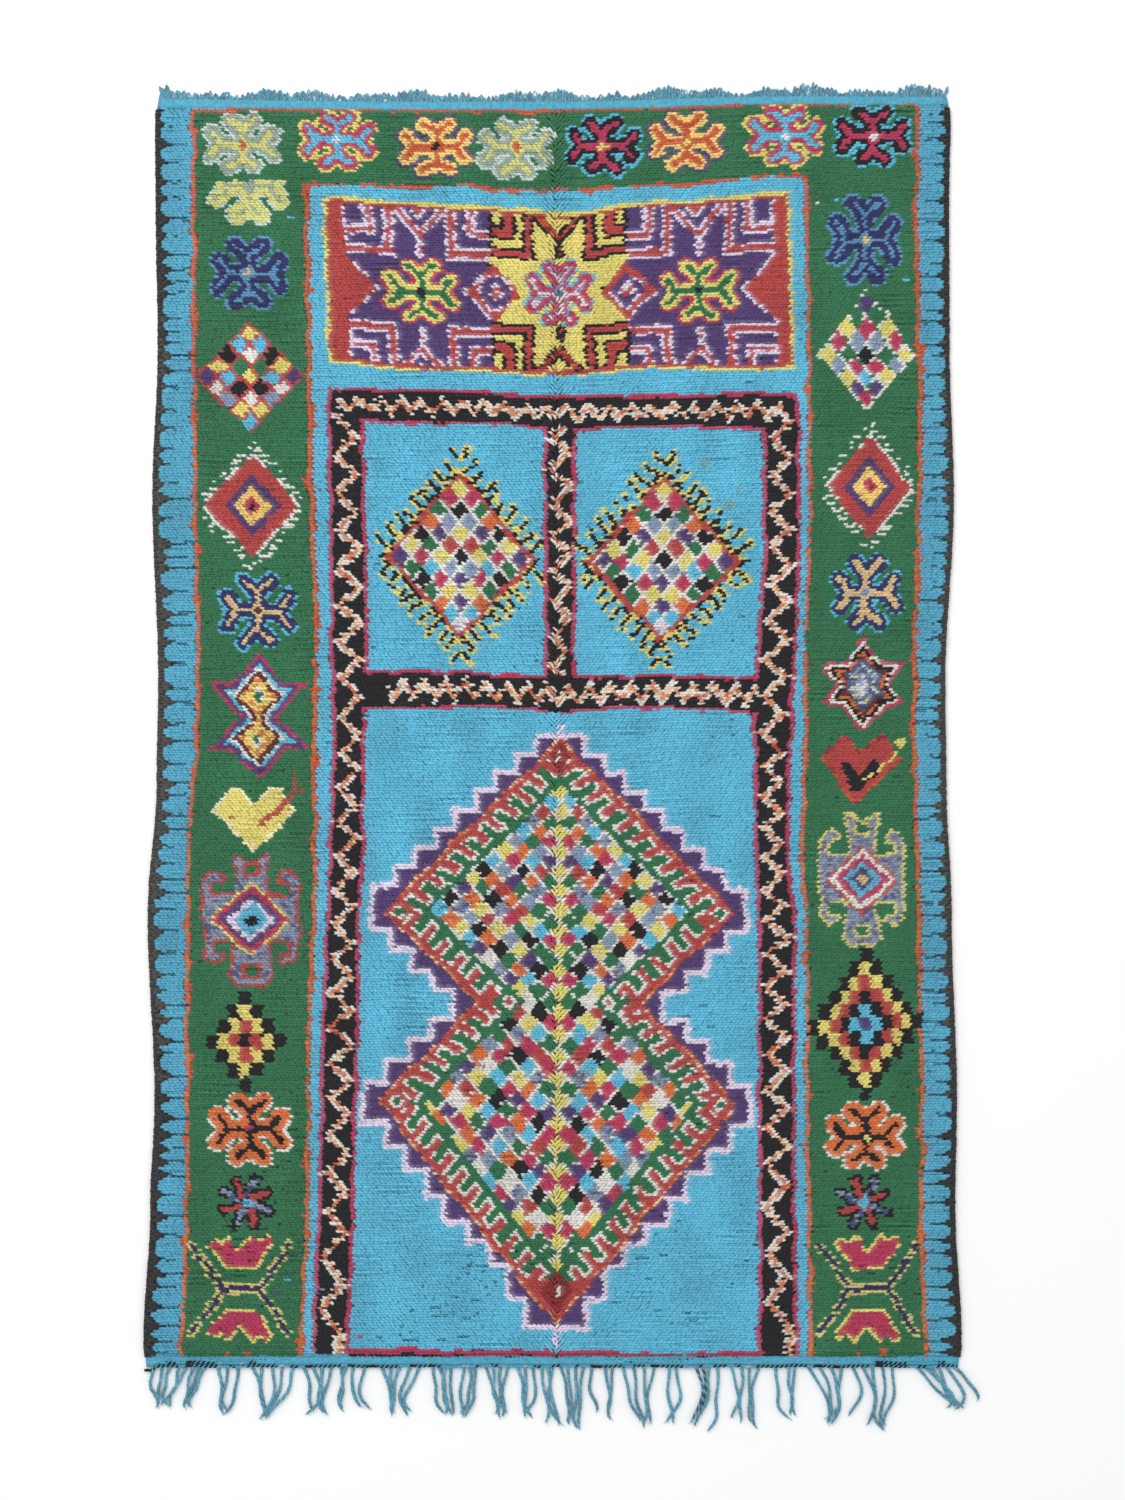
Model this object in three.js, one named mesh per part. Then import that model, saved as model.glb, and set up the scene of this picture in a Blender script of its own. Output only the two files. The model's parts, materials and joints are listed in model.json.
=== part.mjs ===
// A hand-knotted azilal rug lying flat on the floor.
// Millimetres. X runs across the rug, Y along it towards the cut warp ends and Z up.
// The origin is on the underside, at the middle of the knotted cloth.

import * as THREE from 'three';

// Driving sizes of the knotted cloth
const HALF_WIDTH = 750;
const BOTTOM_EDGE = -1206;
const WOVEN_HEIGHT = 5;
const SELVEDGE_HEIGHT = 8;
const PILE_HEIGHT = 13;
const BOTTOM_WOVEN_DEPTH = 18;
const TOP_WOVEN_DEPTH = 12;
const PILE_RISE = 14;

// Half widths to the left and right of the centre line, from the cut end to the fringed end
const WIDTH_SECTIONS = [
  { y: 1230, left: 739, right: 743 },
  { y: 1150, left: 748, right: 751 },
  { y: 1000, left: 747, right: 748 },
  { y: 720, left: 743, right: 749 },
  { y: 440, left: 753, right: 757 },
  { y: 90, left: 742, right: 741 },
  { y: -100, left: 745, right: 743 },
  { y: -350, left: 762, right: 753 },
  { y: -700, left: 749, right: 763 },
  { y: -900, left: 757, right: 760 },
  { y: -1160, left: 770, right: 772 },
  { y: -1230, left: 765, right: 765 },
];

// The cut end runs a little askew
const TOP_EDGE_SECTIONS = [
  { x: -780, y: 1191 },
  { x: -300, y: 1186 },
  { x: 0, y: 1186 },
  { x: 450, y: 1196 },
  { x: 780, y: 1195 },
];

// The lengthwise fold down the middle, where the pile stands up
const FOLD_X = 8;
const FOLD_RISE = 3;
const FOLD_HALF_WIDTH = 18;

// Soft lumps over the whole pile: wavelengths across and along the rug, and height
const LUMPS = [
  { across: 410, along: 530, start: 0.6, height: 0.9 },
  { across: 230, along: -310, start: 2.1, height: 0.7 },
  { across: -170, along: 190, start: 4.0, height: 0.5 },
];

// How finely the cloth is divided
const COLUMNS_PER_HALF = 17;
const ROWS_ALONG = 56;
const EDGE_INSETS = [0, 6, 20];
const FOLD_OFFSETS = [-30, -15, 0, 15, 30];
const END_INSETS = [0, 12, 24, 38];

// Fringe strips lie just off the woven ends
const PARTING = 0.3;
const STRIP_DEPTH = 4.5;
const STRIP_HEIGHT = 4.6;
const STRIP_HALF_WIDTH = { bottom: 764, top: 741 };
const TOP_FACE_SHARE = 0.66;

// Bottom fringe: twisted warp ends that lie in gathered groups.
// Roots run from one x to the other, and the group's tips end side by side round tip.
const STRAND = { width: 5.4, height: 3.8, tipPitch: 7.2, steps: 5, tipShare: 0.7 };
const FRINGE_GROUPS = [
  { count: 5, from: -752, to: -689, tip: -732, reach: 68, sway: -3 },
  { count: 3, from: -677, to: -654, tip: -689, reach: 70, sway: -3 },
  { count: 3, from: -632, to: -593, tip: -622, reach: 83, sway: 2 },
  { count: 5, from: -568, to: -489, tip: -543, reach: 90, sway: 5 },
  { count: 4, from: -470, to: -417, tip: -447, reach: 80, sway: 4 },
  { count: 2, from: -399, to: -389, tip: -401, reach: 75, sway: 4 },
  { count: 2, from: -375, to: -353, tip: -357, reach: 70, sway: -6 },
  { count: 5, from: -323, to: -249, tip: -291, reach: 83, sway: -6 },
  { count: 4, from: -225, to: -191, tip: -202, reach: 85, sway: 4 },
  { count: 3, from: -166, to: -146, tip: -170, reach: 87, sway: 6 },
  { count: 4, from: -125, to: -83, tip: -97, reach: 85, sway: -4 },
  { count: 3, from: -66, to: -36, tip: -46, reach: 87, sway: 5 },
  { count: 3, from: -19, to: 1, tip: 2, reach: 100, sway: -5 },
  { count: 4, from: 15, to: 60, tip: 40, reach: 105, sway: -4 },
  { count: 1, from: 75, to: 75, tip: 84, reach: 80, sway: -5 },
  { count: 2, from: 100, to: 115, tip: 109, reach: 93, sway: 4 },
  { count: 4, from: 134, to: 194, tip: 172, reach: 103, sway: -5 },
  { count: 2, from: 222, to: 233, tip: 226, reach: 99, sway: 3 },
  { count: 3, from: 272, to: 297, tip: 276, reach: 100, sway: 5 },
  { count: 1, from: 313, to: 313, tip: 303, reach: 110, sway: 9 },
  { count: 2, from: 338, to: 358, tip: 343, reach: 96, sway: 5 },
  { count: 2, from: 374, to: 392, tip: 378, reach: 104, sway: -4 },
  { count: 1, from: 423, to: 423, tip: 436, reach: 92, sway: -9 },
  { count: 2, from: 447, to: 459, tip: 458, reach: 85, sway: -8 },
  { count: 4, from: 483, to: 547, tip: 528, reach: 100, sway: 5 },
  { count: 1, from: 568, to: 568, tip: 566, reach: 90, sway: 8 },
  { count: 4, from: 587, to: 643, tip: 615, reach: 108, sway: 6 },
  { count: 5, from: 687, to: 744, tip: 764, reach: 72, sway: 0 },
  { count: 1, from: 758, to: 758, tip: 795, reach: 56, sway: 4 },
];
const REACH_VARIATION = 0.07;
const STEEPEST_DRIFT = 1.5; // of a smoothstep, at its middle

// Top fringe: short frayed warp ends left where the rug was cut from the loom
const STUB = { width: 6, height: 3.6, pitch: 18.4, steps: 2, tipShare: 0.45 };
const STUB_REACH = { shortest: 5, longest: 16 };
const STUB_LEAN = 5;
const CORNER_REACH = { left: 24, right: 13 };

// Large uneven numbers that scramble a count into what looks like chance
const SCRAMBLE = { step: 12.9898, kind: 78.233, spread: 43758.5453 };

const MATERIALS = {
  pile: { color: 0x50b2d6, roughness: 0.95, metalness: 0 },
  warp: { color: 0x4ba3c3, roughness: 0.9, metalness: 0 },
};

// Smooth value between the rows of a table, by the cosine of the way from one to the next
function tableValue(rows, key, place, value) {
  const sorted = [...rows].sort((a, b) => a[key] - b[key]);
  const next = sorted.findIndex((row) => row[key] >= place);
  if (next <= 0) {
    return next === 0 ? sorted[0][value] : sorted[sorted.length - 1][value];
  }
  const low = sorted[next - 1];
  const high = sorted[next];
  const share = (place - low[key]) / (high[key] - low[key]);
  return THREE.MathUtils.lerp(low[value], high[value], (1 - Math.cos(Math.PI * share)) / 2);
}

const topEdge = (x) => tableValue(TOP_EDGE_SECTIONS, 'x', x, 'y');
const bottomEdge = () => BOTTOM_EDGE;

// A repeatable value from -1 to 1 for each whole number
function variation(index, kind) {
  const angle = (index + 1) * SCRAMBLE.step + kind * SCRAMBLE.kind;
  const scrambled = Math.sin(angle) * SCRAMBLE.spread;
  return 2 * (scrambled - Math.floor(scrambled)) - 1;
}

function even(from, to, count) {
  return Array.from({ length: count }, (_, i) => THREE.MathUtils.lerp(from, to, (i + 0.5) / count));
}

// Height of the pile's surface over the floor
function surfaceHeight(x, y, fromSide, fromTop, fromBottom) {
  const rise = (distance) => THREE.MathUtils.smoothstep(distance, 0, PILE_RISE);
  const lumps = LUMPS.reduce((sum, lump) => {
    const phase = 2 * Math.PI * (x / lump.across + y / lump.along) + lump.start;
    return sum + lump.height * Math.sin(phase);
  }, 0);
  const fold = FOLD_RISE * Math.exp(-(((x - FOLD_X) / FOLD_HALF_WIDTH) ** 2));
  const ends = rise(fromTop - TOP_WOVEN_DEPTH) * rise(fromBottom - BOTTOM_WOVEN_DEPTH);
  const sides = rise(fromSide);
  const pile = PILE_HEIGHT + lumps * sides + fold;
  const piled = THREE.MathUtils.lerp(SELVEDGE_HEIGHT, pile, sides);
  return THREE.MathUtils.lerp(WOVEN_HEIGHT, piled, ends);
}

function meshOf(name, positions, triangles, look) {
  const geometry = new THREE.BufferGeometry();
  geometry.setAttribute('position', new THREE.Float32BufferAttribute(positions.flat(), 3));
  geometry.setIndex(triangles.flat());
  geometry.computeVertexNormals();
  const mesh = new THREE.Mesh(geometry, new THREE.MeshStandardMaterial(look));
  mesh.name = name;
  return mesh;
}

// The knotted cloth: a flat underside, low side walls and an uneven top
function knottedCloth() {
  const nearLeft = EDGE_INSETS.map((inset) => inset - HALF_WIDTH);
  const nearRight = EDGE_INSETS.map((inset) => HALF_WIDTH - inset).reverse();
  const nearFold = FOLD_OFFSETS.map((offset) => FOLD_X + offset);
  const columns = [
    ...nearLeft,
    ...even(nearLeft.at(-1), nearFold[0], COLUMNS_PER_HALF),
    ...nearFold,
    ...even(nearFold.at(-1), nearRight[0], COLUMNS_PER_HALF),
    ...nearRight,
  ];
  const middleTop = topEdge(0);
  const nearBottom = END_INSETS.map((inset) => BOTTOM_EDGE + inset);
  const nearTop = END_INSETS.map((inset) => middleTop - inset).reverse();
  const rows = [...nearBottom, ...even(nearBottom.at(-1), nearTop[0], ROWS_ALONG), ...nearTop];

  const positions = [];
  for (const row of rows) {
    for (const column of columns) {
      const along = (row - BOTTOM_EDGE) / (middleTop - BOTTOM_EDGE);
      const y = THREE.MathUtils.lerp(BOTTOM_EDGE, topEdge(column), along);
      const side = column < 0 ? 'left' : 'right';
      const halfWidth = tableValue(WIDTH_SECTIONS, 'y', y, side);
      const x = column * (halfWidth / HALF_WIDTH);
      const fromSide = HALF_WIDTH - Math.abs(column);
      const z = surfaceHeight(x, y, fromSide, middleTop - row, row - BOTTOM_EDGE);
      positions.push([x, y, z]);
    }
  }
  const across = columns.length;
  const at = (row, column) => row * across + column;
  const triangles = [];
  for (let row = 0; row < rows.length - 1; row += 1) {
    for (let column = 0; column < across - 1; column += 1) {
      const a = at(row, column);
      const b = at(row, column + 1);
      const c = at(row + 1, column + 1);
      const d = at(row + 1, column);
      triangles.push([a, b, c], [a, c, d]);
    }
  }

  // Anticlockwise round the rim, seen from above
  const lastRow = rows.length - 1;
  const lastColumn = across - 1;
  const rim = [];
  for (let column = 0; column < lastColumn; column += 1) {
    rim.push(at(0, column));
  }
  for (let row = 0; row < lastRow; row += 1) {
    rim.push(at(row, lastColumn));
  }
  for (let column = lastColumn; column > 0; column -= 1) {
    rim.push(at(lastRow, column));
  }
  for (let row = lastRow; row > 0; row -= 1) {
    rim.push(at(row, 0));
  }

  const firstFoot = positions.length;
  rim.forEach((index) => positions.push([positions[index][0], positions[index][1], 0]));
  rim.forEach((index, i) => {
    const j = (i + 1) % rim.length;
    triangles.push([index, firstFoot + i, firstFoot + j], [index, firstFoot + j, rim[j]]);
  });
  const outline = rim.map((index) => new THREE.Vector2(positions[index][0], positions[index][1]));
  for (const [a, b, c] of THREE.ShapeUtils.triangulateShape(outline, [])) {
    triangles.push([firstFoot + a, firstFoot + c, firstFoot + b]);
  }
  return meshOf('rug', positions, triangles, MATERIALS.pile);
}

// A narrow strip with strands that stand apart but for their roots in it.
// Each strand is { root, path, size }: path gives x and the distance from the strip's face.
function fringedStrip(name, edge, outward, halfWidth, strands) {
  const positions = [];
  const triangles = [];
  const innerFace = PARTING;
  const outerFace = PARTING + STRIP_DEPTH;
  const place = (x, distance, z) => {
    positions.push([x, edge(x) + outward * distance, z]);
    return positions.length - 1;
  };
  const face = (...loop) => {
    const turned = outward > 0 ? [...loop].reverse() : loop;
    for (let i = 1; i < turned.length - 1; i += 1) {
      triangles.push([turned[0], turned[i], turned[i + 1]]);
    }
  };

  // One upright line of the strip: its feet, the strands' top level, and its top
  const upright = (foot, head) => ({
    innerFoot: place(foot, innerFace, 0),
    innerHead: place(head, innerFace, STRIP_HEIGHT),
    outerFoot: place(foot, outerFace, 0),
    outerWaist: place(head, outerFace, strands[0].size.height),
    outerHead: place(head, outerFace, STRIP_HEIGHT),
  });
  const uprights = [upright(-halfWidth, -halfWidth)];
  for (const { root, size } of strands) {
    const half = size.width / 2;
    uprights.push(upright(root - half, root - half * TOP_FACE_SHARE));
    uprights.push(upright(root + half, root + half * TOP_FACE_SHARE));
  }
  uprights.push(upright(halfWidth, halfWidth));

  uprights.slice(1).forEach((right, i) => {
    const left = uprights[i];
    const holdsStrand = i % 2 === 1;
    face(left.innerFoot, right.innerFoot, right.outerFoot, left.outerFoot);
    face(left.outerHead, right.outerHead, right.innerHead, left.innerHead);
    face(left.innerHead, right.innerHead, right.innerFoot, left.innerFoot);
    face(left.outerWaist, right.outerWaist, right.outerHead, left.outerHead);
    if (!holdsStrand) {
      face(left.outerFoot, right.outerFoot, right.outerWaist, left.outerWaist);
    }
  });
  for (const [end, isFirst] of [[uprights[0], true], [uprights.at(-1), false]]) {
    const loop = [end.innerFoot, end.outerFoot, end.outerWaist, end.outerHead, end.innerHead];
    face(...(isFirst ? loop : loop.reverse()));
  }

  strands.forEach(({ path, size }, strandIndex) => {
    const left = uprights[2 * strandIndex + 1];
    const right = uprights[2 * strandIndex + 2];
    let section = [left.outerFoot, right.outerFoot, right.outerWaist, left.outerWaist];
    for (let step = 1; step <= size.steps; step += 1) {
      const here = path(step / size.steps);
      const before = path((step - 0.5) / size.steps);
      const heading = here.clone().sub(before).normalize();
      const thinning = THREE.MathUtils.lerp(1, size.tipShare, (step / size.steps) ** 2);
      const half = (size.width / 2) * thinning;
      const corner = (share, z) =>
        place(here.x + heading.y * share, outerFace + here.y - heading.x * share, z);
      const height = size.height * thinning;
      const next = [
        corner(-half, 0),
        corner(half, 0),
        corner(half * TOP_FACE_SHARE, height),
        corner(-half * TOP_FACE_SHARE, height),
      ];
      for (let side = 0; side < 4; side += 1) {
        const after = (side + 1) % 4;
        face(section[side], section[after], next[after], next[side]);
      }
      section = next;
    }
    face(...section);
  });
  return meshOf(name, positions, triangles, MATERIALS.warp);
}

function bottomFringe() {
  const strands = [];
  for (const group of FRINGE_GROUPS) {
    // Strands that slant lie further apart along the edge, so that they stay clear of each other
    const slant = (STEEPEST_DRIFT * (group.tip - (group.from + group.to) / 2)) / group.reach;
    const tipPitch = STRAND.tipPitch * Math.hypot(1, slant);
    for (let i = 0; i < group.count; i += 1) {
      const share = group.count > 1 ? i / (group.count - 1) : 0.5;
      const root = THREE.MathUtils.lerp(group.from, group.to, share);
      const tip = group.tip + (share - 0.5) * (group.count - 1) * tipPitch;
      const reach = group.reach * (1 + REACH_VARIATION * variation(strands.length, 1));
      const path = (along) => {
        const drift = THREE.MathUtils.smoothstep(along, 0, 1);
        const x = THREE.MathUtils.lerp(root, tip, drift) + group.sway * Math.sin(Math.PI * along);
        return new THREE.Vector2(x, reach * along);
      };
      strands.push({ root, path, size: STRAND });
    }
  }
  return fringedStrip('bottom_fringe', bottomEdge, -1, STRIP_HALF_WIDTH.bottom, strands);
}

function topFringe() {
  const halfWidth = STRIP_HALF_WIDTH.top;
  const count = Math.floor((2 * halfWidth - STUB.width) / STUB.pitch);
  const strands = Array.from({ length: count }, (_, i) => {
    const root = (i - (count - 1) / 2) * STUB.pitch;
    const middle = (STUB_REACH.shortest + STUB_REACH.longest) / 2;
    const swing = (STUB_REACH.longest - STUB_REACH.shortest) / 2;
    let reach = middle + swing * variation(i, 2);
    if (i === 0) {
      reach = CORNER_REACH.left;
    } else if (i === count - 1) {
      reach = CORNER_REACH.right;
    }
    const lean = STUB_LEAN * variation(i, 3);
    const path = (along) => new THREE.Vector2(root + lean * along ** 2, reach * along);
    return { root, path, size: STUB };
  });
  return fringedStrip('top_fringe', topEdge, 1, halfWidth, strands);
}

const group = new THREE.Group();
group.add(knottedCloth(), bottomFringe(), topFringe());

export default group;
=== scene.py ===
import json
import math

import bpy
import numpy as np
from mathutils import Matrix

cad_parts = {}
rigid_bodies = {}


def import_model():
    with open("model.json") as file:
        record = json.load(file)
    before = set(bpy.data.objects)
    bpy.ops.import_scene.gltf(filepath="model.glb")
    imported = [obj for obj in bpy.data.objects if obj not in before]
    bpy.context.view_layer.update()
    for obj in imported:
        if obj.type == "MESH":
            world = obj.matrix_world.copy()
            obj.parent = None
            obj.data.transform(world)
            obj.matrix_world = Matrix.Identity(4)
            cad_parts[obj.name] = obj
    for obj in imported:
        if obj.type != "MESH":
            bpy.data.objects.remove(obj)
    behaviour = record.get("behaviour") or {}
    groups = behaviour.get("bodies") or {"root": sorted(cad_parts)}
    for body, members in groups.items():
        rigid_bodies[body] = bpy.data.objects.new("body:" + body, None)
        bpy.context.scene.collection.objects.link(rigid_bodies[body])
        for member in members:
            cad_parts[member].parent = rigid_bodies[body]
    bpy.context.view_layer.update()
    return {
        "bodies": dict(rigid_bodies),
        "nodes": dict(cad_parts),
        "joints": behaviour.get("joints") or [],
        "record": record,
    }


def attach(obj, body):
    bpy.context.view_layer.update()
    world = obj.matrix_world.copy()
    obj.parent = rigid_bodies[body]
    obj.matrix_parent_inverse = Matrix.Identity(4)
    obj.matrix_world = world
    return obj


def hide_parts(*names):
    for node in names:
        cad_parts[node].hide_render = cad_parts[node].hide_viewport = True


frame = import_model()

# A hand-knotted azilal rug, seen from straight above, on a pale floor.
# Sizes are in millimetres, in the part's own frame: X across, Y along towards the cut end, Z up.
# Meshes are made in metres.

MM = 0.001

# The cloth's outline and height, the same as the solid's

HALF_WIDTH = 750
BOTTOM_EDGE = -1206
BOTTOM_WOVEN_DEPTH = 18
TOP_WOVEN_DEPTH = 12
WOVEN_HEIGHT = 5
SELVEDGE_HEIGHT = 8
PILE_HEIGHT = 13
PILE_RISE = 14
FOLD = {"x": 8, "rise": 3, "half_width": 18}

# Half widths to the left and right of the centre line, from the cut end to the fringed end
WIDTH_SECTIONS = {
    "y": (1230, 1150, 1000, 720, 440, 90, -100, -350, -700, -900, -1160, -1230),
    "left": (739, 748, 747, 743, 753, 742, 745, 762, 749, 757, 770, 765),
    "right": (743, 751, 748, 749, 757, 741, 743, 753, 763, 760, 772, 765),
}
TOP_EDGE_SECTIONS = {"x": (-780, -300, 0, 450, 780), "y": (1191, 1186, 1186, 1196, 1195)}

# Soft lumps over the whole pile: wavelengths across and along the rug, start, and height
LUMPS = (
    (410, 530, 0.6, 0.9),
    (230, -310, 2.1, 0.7),
    (-170, 190, 4.0, 0.5),
)


def eased_table(places, values, at):
    """Values between the rows of a table, by the cosine of the way from one row to the next."""
    order = np.argsort(places)
    places = np.asarray(places, float)[order]
    values = np.asarray(values, float)[order]
    at = np.clip(at, places[0], places[-1])
    after = np.clip(np.searchsorted(places, at), 1, len(places) - 1)
    share = (at - places[after - 1]) / (places[after] - places[after - 1])
    eased = (1 - np.cos(np.pi * share)) / 2
    return values[after - 1] * (1 - eased) + values[after] * eased


def top_edge(x):
    return eased_table(TOP_EDGE_SECTIONS["x"], TOP_EDGE_SECTIONS["y"], x)


def half_width(y, is_left):
    left = eased_table(WIDTH_SECTIONS["y"], WIDTH_SECTIONS["left"], y)
    right = eased_table(WIDTH_SECTIONS["y"], WIDTH_SECTIONS["right"], y)
    return np.where(is_left, left, right)


def cloth_point(column, row):
    """Where a place of the even cloth lies: column from -HALF_WIDTH to HALF_WIDTH, row as a y."""
    middle_top = top_edge(0.0)
    share = (row - BOTTOM_EDGE) / (middle_top - BOTTOM_EDGE)
    y = BOTTOM_EDGE + (top_edge(column) - BOTTOM_EDGE) * share
    x = column * half_width(y, column < 0) / HALF_WIDTH
    return x, y


def risen(distance):
    """The soft rise of the pile from its edge, from 0 to 1."""
    share = np.clip(distance / PILE_RISE, 0, 1)
    return share * share * (3 - 2 * share)


def pile_top(x, y, column, row):
    """Height of the tips of the pile over the floor."""
    lumps = sum(
        height * np.sin(2 * np.pi * (x / across + y / along) + start)
        for across, along, start, height in LUMPS
    )
    fold = FOLD["rise"] * np.exp(-(((x - FOLD["x"]) / FOLD["half_width"]) ** 2))
    from_top = top_edge(0.0) - row - TOP_WOVEN_DEPTH
    from_bottom = row - BOTTOM_EDGE - BOTTOM_WOVEN_DEPTH
    ends = risen(from_top) * risen(from_bottom)
    sides = risen(HALF_WIDTH - np.abs(column))
    piled = SELVEDGE_HEIGHT + (PILE_HEIGHT + lumps * sides + fold - SELVEDGE_HEIGHT) * sides
    return WOVEN_HEIGHT + (piled - WOVEN_HEIGHT) * ends


# The yarns, as sRGB colours out of 255

YARNS = {
    "sky": (94, 183, 213),
    "sky_deep": (87, 167, 196),
    "green": (51, 114, 78),
    "red": (177, 70, 68),
    "dark_red": (140, 44, 46),
    "magenta": (182, 57, 92),
    "purple": (83, 63, 114),
    "black": (32, 30, 33),
    "charcoal": (76, 74, 70),
    "soot": (52, 50, 52),
    "yellow": (221, 209, 118),
    "white": (222, 221, 214),
    "bone": (212, 206, 216),
    "slate": (134, 152, 178),
    "ink": (74, 84, 120),
    "orange": (212, 113, 62),
    "rust": (194, 88, 58),
    "copper": (204, 112, 58),
    "tan": (214, 186, 138),
    "straw": (205, 196, 124),
    "peach": (240, 204, 120),
    "cream": (238, 228, 186),
    "lilac": (222, 210, 228),
    "coral": (205, 134, 98),
    "peach_pale": (238, 196, 160),
    "night": (56, 46, 92),
    "navy": (48, 52, 98),
    "azure": (92, 146, 188),
    "frost": (196, 211, 202),
    "ash": (146, 164, 152),
    "lemon": (208, 206, 128),
    "stone": (140, 146, 164),
    "pewter": (112, 122, 148),
    "wine": (98, 48, 54),
    "faded_sky": (104, 166, 188),
}
YARN_NAMES = list(YARNS)

# Yarns that are spun from several colours, which show by turns from knot to knot
MARLS = {
    "blue_grey": ("stone", "pewter", "stone", "slate", "pewter", "slate", "stone", "ink"),
    "silver": ("bone", "bone", "white", "slate"),
    "violet_grey": ("slate", "ink", "ink", "slate"),
    "flame": ("peach", "yellow", "orange", "peach", "copper", "yellow"),
    "ember": ("red", "dark_red", "rust"),
    "apricot": ("orange", "coral", "rust", "peach_pale"),
    "melange": ("slate", "ink", "pewter", "frost", "slate", "ink", "lemon", "pewter"),
    "braid": ("coral", "peach_pale", "coral", "coral", "rust", "peach_pale"),
}


# Plane geometry on arrays of places


def along_segment(x, y, start, end):
    """How far a place lies from a segment, and the share of the segment that it lies beside."""
    run_x, run_y = end[0] - start[0], end[1] - start[1]
    share = ((x - start[0]) * run_x + (y - start[1]) * run_y) / (run_x**2 + run_y**2)
    share = np.clip(share, 0, 1)
    distance = np.hypot(x - start[0] - share * run_x, y - start[1] - share * run_y)
    return distance, share


def from_path(x, y, points, closed=False):
    """Distance from a path through the points."""
    ends = points[1:] + points[:1] if closed else points[1:]
    return np.min([along_segment(x, y, a, b)[0] for a, b in zip(points, ends)], axis=0)


def inside(x, y, points):
    """Whether a place lies inside the polygon."""
    within = np.zeros(np.shape(x), bool)
    for (ax, ay), (bx, by) in zip(points, points[1:] + points[:1]):
        if ay == by:
            continue
        crosses = (ay > y) != (by > y)
        within ^= crosses & (x < ax + (bx - ax) * (y - ay) / (by - ay))
    return within


def depth(x, y, points):
    """Distance inside a polygon's edge; it is negative outside."""
    distance = from_path(x, y, points, closed=True)
    return np.where(inside(x, y, points), distance, -distance)


def diamond(x, y, half_x, half_y):
    """0 at the middle of a diamond, and 1 at its edge."""
    return np.abs(x) / half_x + np.abs(y) / half_y


def between(place, low, high):
    return (place > low) & (place < high)


def triangle_wave(place, pitch):
    """A zigzag from -1 to 1; it is 1 where place is 0."""
    share = np.mod(place / pitch, 1)
    return np.abs(share - 0.5) * 4 - 1


def mirrored(points):
    """Closes a path down one half with its mirror image; points on the middle line stay single."""
    return list(points) + [(-x, y) for x, y in reversed(points) if x != 0]


def down_table(y, places, values):
    """Values between the rows of a table that runs from the cut end to the fringed end."""
    return np.interp(-y, [-place for place in places], values)


UPRIGHT_REACH = 4.4
EVERY_KNOT = slice(None)


class Chart:
    """What is known of every knot: its yarn's number, its chance in a marl, its shift and its gap."""

    def __init__(self, count, seed):
        self.random = np.random.default_rng(seed)
        self.chance = self.random.random(count)
        self.yarn = np.zeros(count, int)
        self.shift = np.zeros(count)
        self.gap = np.zeros(count)


class Knots:
    """The knots of a part of the rug, with their places measured from a motif's centre."""

    def __init__(self, chart, x, y, index):
        self.chart = chart
        self.x = x
        self.y = y
        self.index = index

    def chance_of(self):
        """An even random number for each knot, drawn anew at each call."""
        return self.chart.random.random(self.x.size)

    def near(self, centre, half_x, half_y):
        """The knots around a motif's centre."""
        x = self.x - centre[0]
        y = self.y - centre[1]
        close = np.flatnonzero((np.abs(x) < half_x) & (np.abs(y) < half_y))
        return Knots(self.chart, x[close], y[close], self.index[close])

    def lay(self, where, yarn):
        """Ties the knots of a mask in a yarn."""
        chosen = self.index[where]
        if yarn in MARLS:
            turns = MARLS[yarn]
            picks = self.chart.chance[chosen] * len(turns)
            numbers = np.array([YARN_NAMES.index(turn) for turn in turns])
            self.chart.yarn[chosen] = numbers[picks.astype(int)]
        else:
            self.chart.yarn[chosen] = YARN_NAMES.index(yarn)

    def lay_diamond(self, x, y, half_x, half_y, yarn):
        self.lay(diamond(self.x - x, self.y - y, half_x, half_y) < 1, yarn)

    def lay_block(self, x, y, half_x, half_y, yarn):
        self.lay((np.abs(self.x - x) < half_x) & (np.abs(self.y - y) < half_y), yarn)

    def draw_upright(self, line, there, yarn):
        """Ties the knots beside an upright line and its mirror image in a yarn, and moves them onto it."""
        offset = np.abs(self.x) - line
        beside = there & (np.abs(offset) < UPRIGHT_REACH)
        self.lay(beside, yarn)
        self.chart.shift[self.index[beside]] = -(offset * np.sign(self.x))[beside]

    def bands(self, measure, steps, where=True):
        """Ties bands of a measure: each step is a yarn and where its band ends."""
        start = 0
        for yarn, end in steps:
            self.lay(where & (measure >= start) & (measure < end), yarn)
            start = end


def evened(place, lines, even_lines):
    """Turns a place between uneven lines into its place between even ones; lines vary from knot to knot."""
    result = even_lines[0] + (place - lines[0])
    for low, high, even_low, even_high in zip(lines, lines[1:], even_lines, even_lines[1:]):
        share = (place - low) / (high - low)
        result = np.where(place >= low, even_low + share * (even_high - even_low), result)
    return result


# Where the long lines of the pattern lie across the rug, from the cut end to the fringed end,
# and where they would lie on a perfectly even rug

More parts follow.
